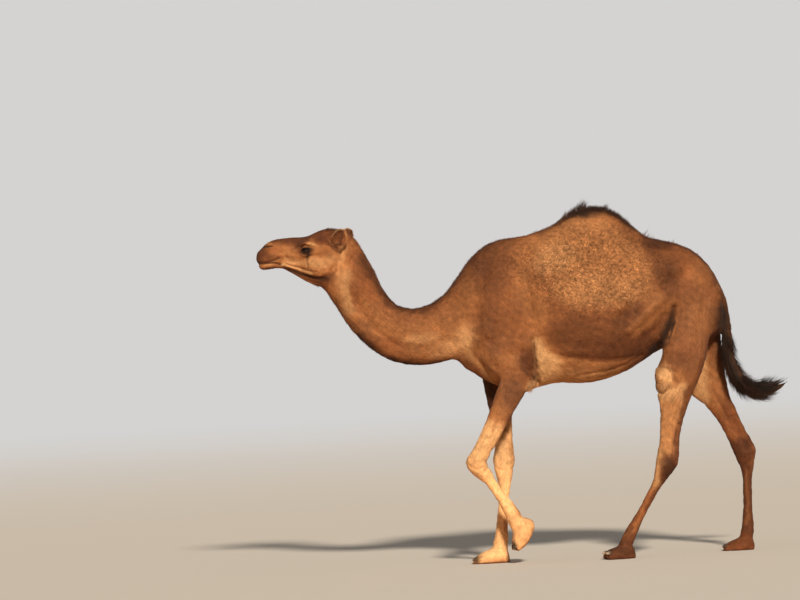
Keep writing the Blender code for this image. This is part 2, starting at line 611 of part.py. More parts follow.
def head_shape():
    """Head and upper neck fused into one finer mesh, with sockets for the eyes and open nostrils."""
    parts = [
        loft("upper_neck", NECK_AND_TRUNK[:5], sides=40, spacing=0.02),
        loft("skull", SKULL, sides=36, spacing=0.010),
        loft("jaw", JAW, sides=28, spacing=0.010),
        loft("throat", THROAT, sides=24, spacing=0.012),
        lump("chin", (-1.515, 0, 1.838), (0.034, 0.034, 0.017)),
        lump("nose_tip", (-1.530, 0, 1.905), (0.034, 0.030, 0.036), tilt=-20),
    ]
    x, y, z = EYE_CENTRE
    for side in (LEFT, RIGHT):
        parts += [
            lump("upper_lip", (-1.528, side * 0.024, 1.884), (0.036, 0.027, 0.034), tilt=-15),
            lump("lip_side", (-1.475, side * 0.034, 1.868), (0.062, 0.016, 0.018), tilt=-6),
            lump("nostril_top", (-1.478, side * 0.036, 1.962), (0.030, 0.016, 0.012), tilt=14),
            lump("nostril_wing", (-1.484, side * 0.040, 1.938), (0.034, 0.015, 0.015), tilt=14),
            lump("cheek", (-1.195, side * 0.030, 1.845), (0.118, 0.053, 0.096), tilt=10),
            lump("cheek_bone", (-1.285, side * 0.046, 1.888), (0.105, 0.024, 0.032), tilt=8),
            lump("brow", (x + 0.006, side * (y - 0.005), z + 0.035), (0.064, 0.033, 0.024), tilt=2),
            lump("brow_back", (x + 0.056, side * (y - 0.008), z + 0.004), (0.038, 0.028, 0.042)),
            lump("brow_front", (x - 0.050, side * (y - 0.015), z - 0.002), (0.040, 0.025, 0.032)),
            lump("lower_lid", (x + 0.002, side * (y - 0.008), z - 0.031), (0.052, 0.029, 0.018)),
            lump("ear_root", (-1.074, side * 0.056, 1.932), (0.034, 0.026, 0.036), tilt=20),
            lump("neck_gland", (-1.030, side * 0.048, 1.860), (0.060, 0.030, 0.075), tilt=15),
        ]
    head = joined("head_form", parts)
    apply_modifier(head, "REMESH", mode="VOXEL", voxel_size=HEAD_VOXEL, use_smooth_shade=True)
    apply_modifier(head, "SMOOTH", factor=0.5, iterations=16)
    for side in (LEFT, RIGHT):
        slit = lump("nostril", (-1.500, side * 0.056, 1.952), (0.023, 0.014, 0.005), tilt=12, turn=side * 10)
        boolean(head, slit, "DIFFERENCE")
        bpy.data.objects.remove(slit)
    return head


def reduce_to(obj, triangles):
    """Fewer triangles, kept where the shape is finest."""
    apply_modifier(obj, "TRIANGULATE")
    return apply_modifier(obj, "DECIMATE", decimate_type="COLLAPSE", ratio=triangles / triangle_count(obj))


# ---------------------------------------------------------------- parting
# Planes of the main cuts, each as a point on it and the direction it faces.
FLANK_FOLD = ((0.800, 0, 1.200), (0.887, 0, -0.461))  # the fold ahead of the thigh
THROAT_CUT = ((-1.050, 0, 1.800), (-0.79, 0, 0.62))  # behind the jaw, before the first neck bone
NECK_CUT = ((-0.385, 0, 1.46), (-1.0, 0, 0.12))  # ahead of the shoulders
HUMP_CUT = ((0.40, 0, 1.925), (0.10, 0, 1.0))  # where the hump leaves the back


def half_space(name, point, normal, grown=0.0):
    """A large box that fills the side of a plane that its normal points to."""
    normal = Vector(normal).normalized()
    turn = normal.to_track_quat("Z", "Y").to_matrix().to_4x4()
    frame = Matrix.Translation(Vector(point) - normal * grown) @ turn
    return box(name, (-3, -3, 0), (3, 3, 6), frame)


def part_off(body, name, cutter_maker):
    """Cuts the region that cutter_maker(grown) fills from body, as a node of its own."""
    inside, outside = cutter_maker(0.0), cutter_maker(GAP)
    piece = boolean(duplicate(body, name), inside, "INTERSECT")
    boolean(body, outside, "DIFFERENCE")
    for cutter in (inside, outside):
        bpy.data.objects.remove(cutter)
    return piece


def leg_cutter(side, point, direction, low_x=-3.0, high_x=3.0, lean=0.0, fold=None):
    """A maker of the region on one side of the midline, beyond a plane across a leg.

    lean tilts the plane so that it rises away from the midline, in degrees. fold is a second plane,
    as a point on it and its normal.
    """
    def make(grown):
        normal = Vector(direction).normalized()
        across = Vector((0, side, 0))
        normal = (normal + across * math.tan(math.radians(lean))).normalized()
        cutter = half_space("cutter", point, normal, grown)
        inner = 0.0 if side == RIGHT else -1.0
        limits = box("limits", (low_x - grown, inner - grown, -1), (high_x + grown, inner + 1 + grown, 3))
        boolean(cutter, limits, "INTERSECT")
        bpy.data.objects.remove(limits)
        if fold:
            behind = half_space("behind", *fold, grown)
            boolean(cutter, behind, "INTERSECT")
            bpy.data.objects.remove(behind)
        return cutter
    return make


def cut_legs(body):
    """Feet, lower legs and upper legs, from the floor up."""
    made = []
    for side, hand in ((LEFT, "left"), (RIGHT, "right")):
        joints = {joint: Vector((x, side * y, z)) for joint, (x, y, z) in FORE_JOINTS[side].items()}
        shin = joints["fetlock"] - joints["carpus"]
        forearm = joints["carpus"] - joints["elbow"]
        made.append(part_off(body, f"forefoot_{hand}", leg_cutter(side, joints["fetlock"], shin, high_x=0.2)))
        made.append(part_off(body, f"foreleg_{hand}_lower",
                             leg_cutter(side, joints["carpus"], forearm + shin, high_x=0.2)))
        armpit = (-0.05, side * 0.045, 1.045)
        made.append(part_off(body, f"foreleg_{hand}_upper",
                             leg_cutter(side, armpit, (0, 0, -1), high_x=0.080, lean=48)))
        joints = {joint: Vector((x, side * y, z)) for joint, (x, y, z) in HIND_JOINTS[side].items()}
        shin = joints["fetlock"] - joints["hock"]
        gaskin = joints["hock"] - joints["stifle"]
        made.append(part_off(body, f"hindfoot_{hand}", leg_cutter(side, joints["fetlock"], shin, low_x=0.2)))
        made.append(part_off(body, f"hindleg_{hand}_lower",
                             leg_cutter(side, joints["hock"], gaskin + shin, low_x=0.2)))
        groin = (0.95, side * 0.040, 1.215)
        made.append(part_off(body, f"hindleg_{hand}_upper",
                             leg_cutter(side, groin, (0, 0, -1), low_x=0.2, lean=50, fold=FLANK_FOLD)))
    return made


def cut_body(body):
    """Parts the fused body, and returns the pieces with the trunk last."""
    floor = box("floor", (-3, -1, -1), (3, 1, 0))
    boolean(body, floor, "DIFFERENCE")
    bpy.data.objects.remove(floor)
    tail = part_off(body, "tail", tail_cutter)
    pieces = [tail, *cut_legs(body)]
    for name, plane in (("hump", HUMP_CUT), ("neck", NECK_CUT)):
        pieces.append(part_off(body, name, lambda grown: half_space("cutter", *plane, grown)))
    body.name = "trunk"
    return [*pieces, body]


def tail_cutter(grown):
    """The dock below its root."""
    return box("cutter", (1.168 - grown, -0.05 - grown, 0.8), (1.4, 0.05 + grown, 1.415 + grown))


def cut_head(head, neck):
    """The head ahead of the throat, and the neck trimmed to it."""
    point, normal = THROAT_CUT
    keep = half_space("cutter", point, normal)
    boolean(head, keep, "INTERSECT")
    bpy.data.objects.remove(keep)
    trim = half_space("cutter", point, normal, GAP)
    boolean(neck, trim, "DIFFERENCE")
    bpy.data.objects.remove(trim)
    head.name = "head"
    return head


# ---------------------------------------------------------------- eyes, ears, nails, tuft
def eye(name, side):
    x, y, z = EYE_CENTRE
    shape = bmesh.new()
    bmesh.ops.create_uvsphere(shape, u_segments=12, v_segments=6, radius=EYE_RADIUS)
    shape.transform(Matrix.Translation((x, side * y, z)) @ Matrix.Rotation(math.pi / 2, 4, "X"))
    return new_object(name, mesh_from_bmesh(name, shape))


def ear(name, side):
    """A cupped leaf whose hollow faces out and forwards."""
    root, way, length = EARS[side]
    rows, columns = 5, 4
    shape = bmesh.new()
    bmesh.ops.create_grid(shape, x_segments=columns, y_segments=rows, size=1.0)
    for vertex in shape.verts:
        across, up = vertex.co.x, (vertex.co.y + 1) / 2
        width = EAR_HALF_WIDTH * (0.55 + 0.45 * ramp(up, 0.0, 0.45)) * math.sqrt(
            max(0.10, 1 - max(0.0, up - 0.40) ** 2 / 0.40))
        cup = 0.030 * (1 - 0.55 * up) * (across * across - 0.5)
        lean_back = 0.010 * up * up
        vertex.co = Vector((across * width, -cup + lean_back, up * length))
    obj = new_object(name, mesh_from_bmesh(name, shape))
    apply_modifier(obj, "SOLIDIFY", thickness=EAR_THICKNESS, offset=0.0, use_even_offset=False)
    hollow = Vector((-0.42, side * 0.90, 0.02)).normalized()
    up = Vector((way[0], side * way[1], way[2])).normalized()
    across = up.cross(hollow).normalized()
    hollow = across.cross(up).normalized()
    turn = Matrix((across, -hollow, up)).transposed().to_4x4()
    obj.data.transform(Matrix.Translation((root[0], side * root[1], root[2])) @ turn)
    shape = bmesh.new()
    shape.from_mesh(obj.data)
    bmesh.ops.recalc_face_normals(shape, faces=shape.faces)
    shape.to_mesh(obj.data)
    shape.free()
    return obj


def trim_to(obj, other):
    """Cuts obj back to GAP clear of other."""
    cutter = swell(duplicate(other, "cutter"), GAP)
    boolean(obj, cutter, "DIFFERENCE")
    bpy.data.objects.remove(cutter)


def make_nodes():
    """Every node by name: the parted body, then what is set into it or on it."""
    body = reduce_to(body_shape(), BODY_TRIANGLES)
    pieces = cut_body(body)
    nodes = {piece.name: piece for piece in pieces}
    head = reduce_to(head_shape(), HEAD_TRIANGLES)
    nodes["head"] = cut_head(head, nodes["neck"])

    for side, hand in ((LEFT, "left"), (RIGHT, "right")):
        nodes[f"eye_{hand}"] = eye(f"eye_{hand}", side)
        trim_to(nodes["head"], nodes[f"eye_{hand}"])
        nodes[f"ear_{hand}"] = ear(f"ear_{hand}", side)
        trim_to(nodes[f"ear_{hand}"], nodes["head"])
    for name, spec in FEET.items():
        leg, hand = name.split("_")
        side = LEFT if hand == "left" else RIGHT
        frame = foot_frame(spec.origin, spec.heading, spec.pitch, side)
        flesh = nodes[f"{leg}foot_{hand}"]
        for toe, toe_side in (("outer", -side), ("inner", side)):
            nail = nail_shape(f"nail_{name}_{toe}", frame, spec.length, spec.width, toe_side)
            nodes[nail.name] = nail
            trim_to(flesh, nail)
    tuft = loft("tail_tuft", TAIL[5:], sides=12, spacing=0.05)
    below = box("below_tuft_top", (1.0, -0.3, 0.5), (2.0, 0.3, TUFT_TOP))
    boolean(tuft, below, "INTERSECT")
    above = box("tuft_room", (1.0, -0.3, 0.5), (2.0, 0.3, TUFT_TOP + GAP))
    boolean(nodes["tail"], above, "DIFFERENCE")
    for helper in (below, above):
        bpy.data.objects.remove(helper)
    nodes["tail_tuft"] = tuft
    return nodes


def slot_of(name):
    """The material that a node takes."""
    if name.startswith("eye"):
        return "eye"
    if name.startswith("nail"):
        return "nail"
    if name == "tail_tuft":
        return "tuft"
    if name == "head" or name.startswith("ear"):
        return "face"
    if name.endswith("lower") or "foot" in name:
        return "pale"
    return "coat"


def centre_over_origin(objects):
    """Moves the whole model so that its box stands centred over the origin."""
    corners = np.array([vertex.co for obj in objects for vertex in obj.data.vertices])
    middle = (corners.min(axis=0) + corners.max(axis=0)) / 2
    for obj in objects:
        obj.data.transform(Matrix.Translation((-middle[0], -middle[1], 0)))


def main():
    remove_everything()
    finish = make_materials()
    nodes = make_nodes()
    for name, obj in nodes.items():
        obj.name = name
        obj.data.materials.clear()
        obj.data.materials.append(finish[slot_of(name)])
        obj.vertex_groups.clear()
    centre_over_origin(list(nodes.values()))


main()
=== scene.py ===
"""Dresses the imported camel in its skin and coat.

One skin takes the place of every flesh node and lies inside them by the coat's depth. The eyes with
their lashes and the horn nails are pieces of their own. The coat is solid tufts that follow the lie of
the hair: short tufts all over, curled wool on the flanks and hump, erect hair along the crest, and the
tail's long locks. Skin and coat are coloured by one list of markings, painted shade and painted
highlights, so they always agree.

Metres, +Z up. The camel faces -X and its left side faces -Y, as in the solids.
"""

import functools
import math
from collections import namedtuple

import bpy
import numpy as np
from bpy.props import FloatProperty, FloatVectorProperty, IntProperty, PointerProperty
from mathutils import Matrix, Vector
from mathutils.bvhtree import BVHTree


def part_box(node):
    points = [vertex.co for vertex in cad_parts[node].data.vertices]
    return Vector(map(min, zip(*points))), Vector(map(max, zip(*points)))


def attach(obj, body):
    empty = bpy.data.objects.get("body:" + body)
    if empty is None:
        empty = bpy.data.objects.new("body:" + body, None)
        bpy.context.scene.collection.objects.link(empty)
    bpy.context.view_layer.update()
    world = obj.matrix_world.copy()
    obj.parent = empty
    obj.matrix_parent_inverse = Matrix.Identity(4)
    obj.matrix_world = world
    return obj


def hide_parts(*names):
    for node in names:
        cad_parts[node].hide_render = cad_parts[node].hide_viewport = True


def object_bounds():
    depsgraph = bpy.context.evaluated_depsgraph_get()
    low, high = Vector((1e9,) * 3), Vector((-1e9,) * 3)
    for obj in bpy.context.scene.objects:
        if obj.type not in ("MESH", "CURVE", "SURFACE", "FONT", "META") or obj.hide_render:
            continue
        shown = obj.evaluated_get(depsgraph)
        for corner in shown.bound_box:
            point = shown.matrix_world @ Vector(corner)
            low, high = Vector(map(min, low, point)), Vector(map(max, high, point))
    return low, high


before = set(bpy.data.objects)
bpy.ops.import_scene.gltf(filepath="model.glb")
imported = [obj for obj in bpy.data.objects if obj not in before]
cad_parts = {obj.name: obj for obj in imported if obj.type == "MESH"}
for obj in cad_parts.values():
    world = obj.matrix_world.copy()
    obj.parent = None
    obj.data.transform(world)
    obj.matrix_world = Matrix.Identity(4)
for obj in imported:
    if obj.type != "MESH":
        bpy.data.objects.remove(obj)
CAD_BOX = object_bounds()

bl_info = {
    "name": "Walking dromedary camel",
    "version": (1, 0, 0),
    "blender": (4, 5, 0),
    "location": "View3D > Sidebar > Camel",
    "description": "Skin, eyes, nails and coat of solid tufts for a life-size camel",
    "category": "Object",
}

LEFT, RIGHT = -1, 1
HANDS = ((LEFT, "left"), (RIGHT, "right"))
FLESH = [name for name in sorted(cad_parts) if not name.startswith(("eye", "nail"))]
NAILS = [name for name in sorted(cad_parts) if name.startswith("nail")]
# Where each foot's nails turn from their dark root to their pale tip, as shares of their half length.
NAIL_TIPS = {"fore_left": (0.30, 1.30), "fore_right": (0.25, 1.20),
             "hind_left": (-0.35, 0.95), "hind_right": (0.50, 1.60)}
HEAD_FLESH = ("head", "ear_left", "ear_right")
PATCH = 0.003  # size of each tuft's patch on its map
JOINT_SWELL = 0.0008  # closes the thin cuts between the flesh nodes
LEG_ASIDE = 0.130  # how far the legs stand from the midline
LID_HALF = 0.0212  # half the length of the opening between the lids
UPPER_LID, LOWER_LID = 0.0092, 0.0070  # how far the lids' edges rise and drop from its line
CORNEA = 0.0012  # how far the front of the eyeball bulges
HORN = 0.0012  # thickness of the horn over each nail's solid
RIDGE_SPACING, RIDGE_HEIGHT = 0.0036, 0.00011  # of the ridges across the nails
LIE_CHUNK = 20000  # places whose lie is worked out at a time
CAMERA_X = -0.7227  # where the camera stands along the camel
BACKDROP = (0.66, 0.65, 0.64)  # what the camera sees beyond the floor

# Where the fine skin of the head is grafted to the body's: a point, and the way towards the head.
GRAFT_POINT = Vector((-1.003, 0.0, 1.763))
GRAFT_NORMAL = Vector((-0.787, 0.0, 0.617))


def points(*row):
    """(x, z) points in metres, from x and z in turn in millimetres."""
    return tuple((x / 1000, z / 1000) for x, z in zip(row[::2], row[1::2]))


# Middle line of the tail, from under the dock to the tips of its hair.
TAIL_LINE = points(1200, 1440, 1204, 1345, 1207, 1235, 1220, 1121, 1260, 1032, 1317, 974, 1388, 938,
                   1469, 950, 1537, 980, 1565, 1000)

# Ridge of the back, from the withers over the hump to the rump.
BACK_LINE = points(-200, 1893, -20, 1946, 120, 1975, 240, 2015, 340, 2072, 430, 2092, 520, 2080, 610, 2028,
                   700, 1950, 800, 1895, 950, 1835, 1060, 1765)


# ---------------------------------------------------------------- settings
def colour_setting(name, description, default):
    return FloatVectorProperty(name=name, description=description, default=default, size=3,
                               min=0.0, max=1.0, subtype="COLOR")


def length_setting(name, description, default):
    return FloatProperty(name=name, description=description, default=default, min=0.0, unit="LENGTH")


def count_setting(name, description, default):
    return IntProperty(name=name, description=description, default=default, min=1)


class SkinSettings(bpy.types.PropertyGroup):
    body_voxel: length_setting("Body voxel", "Grain of the body's skin before it is thinned out", 0.0075)
    head_voxel: length_setting("Head voxel", "Grain of the head's skin before it is thinned out", 0.0025)
    body_triangles: count_setting("Body triangles", "Triangles kept on the body", 88000)
    head_triangles: count_setting("Head triangles", "Triangles kept on the head", 96000)
    trunk_depth: length_setting("Coat depth, trunk", "How far the skin lies inside the trunk", 0.003)
    face_depth: length_setting("Coat depth, face", "How far the skin lies inside the face", 0.0022)
    leg_depth: length_setting("Coat depth, legs", "How far the skin lies inside the legs", 0.002)


class MarkingSettings(bpy.types.PropertyGroup):
    # Dark, black and brown also paint shade and shadows in the lists below, and tan and cream paint
    # highlights.
    brown: colour_setting("Brown", "Most of the body", (0.290, 0.104, 0.034))
    dark: colour_setting("Dark brown", "Shoulder, lower flank, face and back line", (0.090, 0.027, 0.009))
    black: colour_setting("Black", "Crest, tail, eye rims and slits", (0.012, 0.0062, 0.0036))
    grey: colour_setting("Grey brown", "Upper arm and thigh", (0.205, 0.083, 0.036))
    rust: colour_setting("Rust", "Croup and temple", (0.230, 0.066, 0.018))
    tan: colour_setting("Tan", "Cheeks, neck and forearm", (0.440, 0.178, 0.060))
    cream: colour_setting("Cream", "Forelegs, brisket, brow and behind the elbow", (0.800, 0.450, 0.200))
    wool: colour_setting("Wool", "Sun-bleached curls on the flank and hump", (0.500, 0.212, 0.076))


class CoatSettings(bpy.types.PropertyGroup):
    trunk_tufts: count_setting("Trunk tufts", "Short tufts on each side of the trunk", 31000)
    neck_tufts: count_setting("Neck tufts", "Short tufts on the neck", 24000)
    leg_tufts: count_setting("Leg tufts", "Short tufts on each pair of legs", 22000)
    head_tufts: count_setting("Head tufts", "Very short tufts on the head and ears", 30000)
    wool_curls: count_setting("Wool curls", "Curls on each side", 9000)
    tone_spread: FloatProperty(name="Tone spread", description="How much tufts differ", default=0.09)


class HairSettings(bpy.types.PropertyGroup):
    crest_hairs: count_setting("Crest hairs", "Erect hairs along the back and hump", 2600)
    crest_length: length_setting("Crest length", "Length of the hair on the hump's top", 0.026)
    fringe_hairs: count_setting("Fringe hairs", "Standing hairs along the neck's top", 2400)
    tail_hairs: count_setting("Tail hairs", "Long hairs of the tail", 3800)
    tail_locks: count_setting("Tail locks", "Locks that the tail's hairs are gathered in", 54)
    lashes: count_setting("Lashes", "Lashes of each upper lid", 150)
    ear_hairs: count_setting("Ear hairs", "Hairs along the rim of each ear", 1000)
    face_hairs: count_setting("Face hairs", "Longer hairs of crown, nape, throat and chin", 3200)
    lash_length: length_setting("Lash length", "Length of the upper lashes", 0.020)


class StageSettings(bpy.types.PropertyGroup):
    floor_colour: colour_setting("Floor", "Plain pale floor", (0.62, 0.58, 0.53))
    sun_power: FloatProperty(name="Key light", description="Power of the warm key light", default=4.7)
    sky_power: FloatProperty(name="Sky", description="Strength of the pale surroundings", default=0.22)
    camera_distance: length_setting("Camera distance", "From the camel's middle plane to the camera", 27.0)
    camera_height: length_setting("Camera height", "Above the floor", 1.599)
    picture_width: length_setting("Picture width", "Width of the view at the middle plane", 4.762)
    roll: FloatProperty(name="Roll", description="Tilt of the camera", default=math.radians(3.0),
                        subtype="ANGLE")


def settings_of(context, name):
    return getattr(context.scene, "camel_" + name)


# ---------------------------------------------------------------- soft masks
def soft(value, start, end):
    """0 before start, 1 after end, and a smooth ramp between them."""
    t = np.clip((np.asarray(value) - start) / (end - start), 0.0, 1.0)
    return t * t * (3 - 2 * t)


def mottle(places, size, seed, waves=9):
    """Soft random patches about this size across, from -1 to 1: sines in many directions, added up."""
    rng = np.random.default_rng(seed)
    ways = rng.normal(size=(waves, 3))
    turns = rng.uniform(0.6, 1.6, (waves, 1)) * 2 * np.pi / size
    ways *= turns / np.linalg.norm(ways, axis=1, keepdims=True)
    waves_at = np.sin(places @ ways.T + rng.uniform(0, 2 * np.pi, waves))
    return np.clip(waves_at.sum(axis=1) / 3.2, -1.0, 1.0)


def from_line(places, corners):
    """Distance in the side view from each place to a line through (x, z) points."""
    flat = places[:, [0, 2]]
    nearest = np.full(len(flat), np.inf)
    for start, end in zip(corners, corners[1:]):
        start, step = np.array(start), np.subtract(end, start)
        t = np.clip(((flat - start) @ step) / (step @ step), 0.0, 1.0)
        nearest = np.minimum(nearest, np.linalg.norm(flat - start - t[:, None] * step, axis=1))
    return nearest


def on_side(places, side):
    """1 on this side of the midline and 0 on the other, or 1 everywhere for side 0."""
    return soft(places[:, 1] * side, -0.004, 0.004) if side else np.ones(len(places))


# A soft spot in the side view, through the whole width: centre (x, z), radii (x, z) and tilt in degrees.
# A line runs through (x, z) points and is this wide. An area fills an outline of (x, z) points, and
# fades this far to either side of it. Each may be kept to one side.
Spot = namedtuple("Spot", "what amount centre radii tilt side", defaults=(0.0, 0))
Line = namedtuple("Line", "what amount points width side")
Area = namedtuple("Area", "what amount outline feather side")


# The same, written down in millimetres in the lists below: each point as its x and then its z.
def spot(what, amount, x, z, reach_x, reach_z, tilt=0.0, side=0):
    return Spot(what, amount, (x / 1000, z / 1000), (reach_x / 1000, reach_z / 1000), tilt, side)


def line(what, amount, width, *row, side=0):
    return Line(what, amount, points(*row), width / 1000, side)


def area(what, amount, feather, *row, side=0):
    return Area(what, amount, points(*row), feather / 1000, side)


def within(places, outline):
    """Whether each place is inside an outline of (x, z) points, in the side view."""
    x, z = places[:, 0], places[:, 2]
    found = np.zeros(len(places), bool)
    for (ax, az), (bx, bz) in zip(outline, outline[1:] + outline[:1]):
        if az != bz:
            found ^= ((az > z) != (bz > z)) & (x < ax + (z - az) * (bx - ax) / (bz - az))
    return found


def reach_of(form, places):
    """How strongly a spot, a line or an area covers each place, from 0 to 1."""
    if isinstance(form, Line):
        cover = np.exp(-((from_line(places, form.points) / form.width) ** 2))
    elif isinstance(form, Area):
        edge = from_line(places, form.outline + form.outline[:1])
        cover = soft(np.where(within(places, form.outline), edge, -edge), -form.feather, form.feather)
    else:
        away = places[:, [0, 2]] - form.centre
        c, s = math.cos(math.radians(form.tilt)), math.sin(math.radians(form.tilt))
        turned = np.stack([away[:, 0] * c + away[:, 1] * s, away[:, 1] * c - away[:, 0] * s], axis=1)
        cover = 1 - soft(np.linalg.norm(turned / form.radii, axis=1), 0.45, 1.25)
    return cover * on_side(places, form.side)


def tinted(colour, towards, share):
    """Colours moved towards another one, each by its own share."""
    return colour + (np.array(towards) - colour) * np.asarray(share)[:, None]


def painted(colour, markings, places):
    """Colours with a list of markings, painted shade and painted highlights laid over them in turn."""
    palette = bpy.context.scene.camel_markings
    for marking in markings:
        colour = tinted(colour, getattr(palette, marking.what), marking.amount * reach_of(marking, places))
    return colour
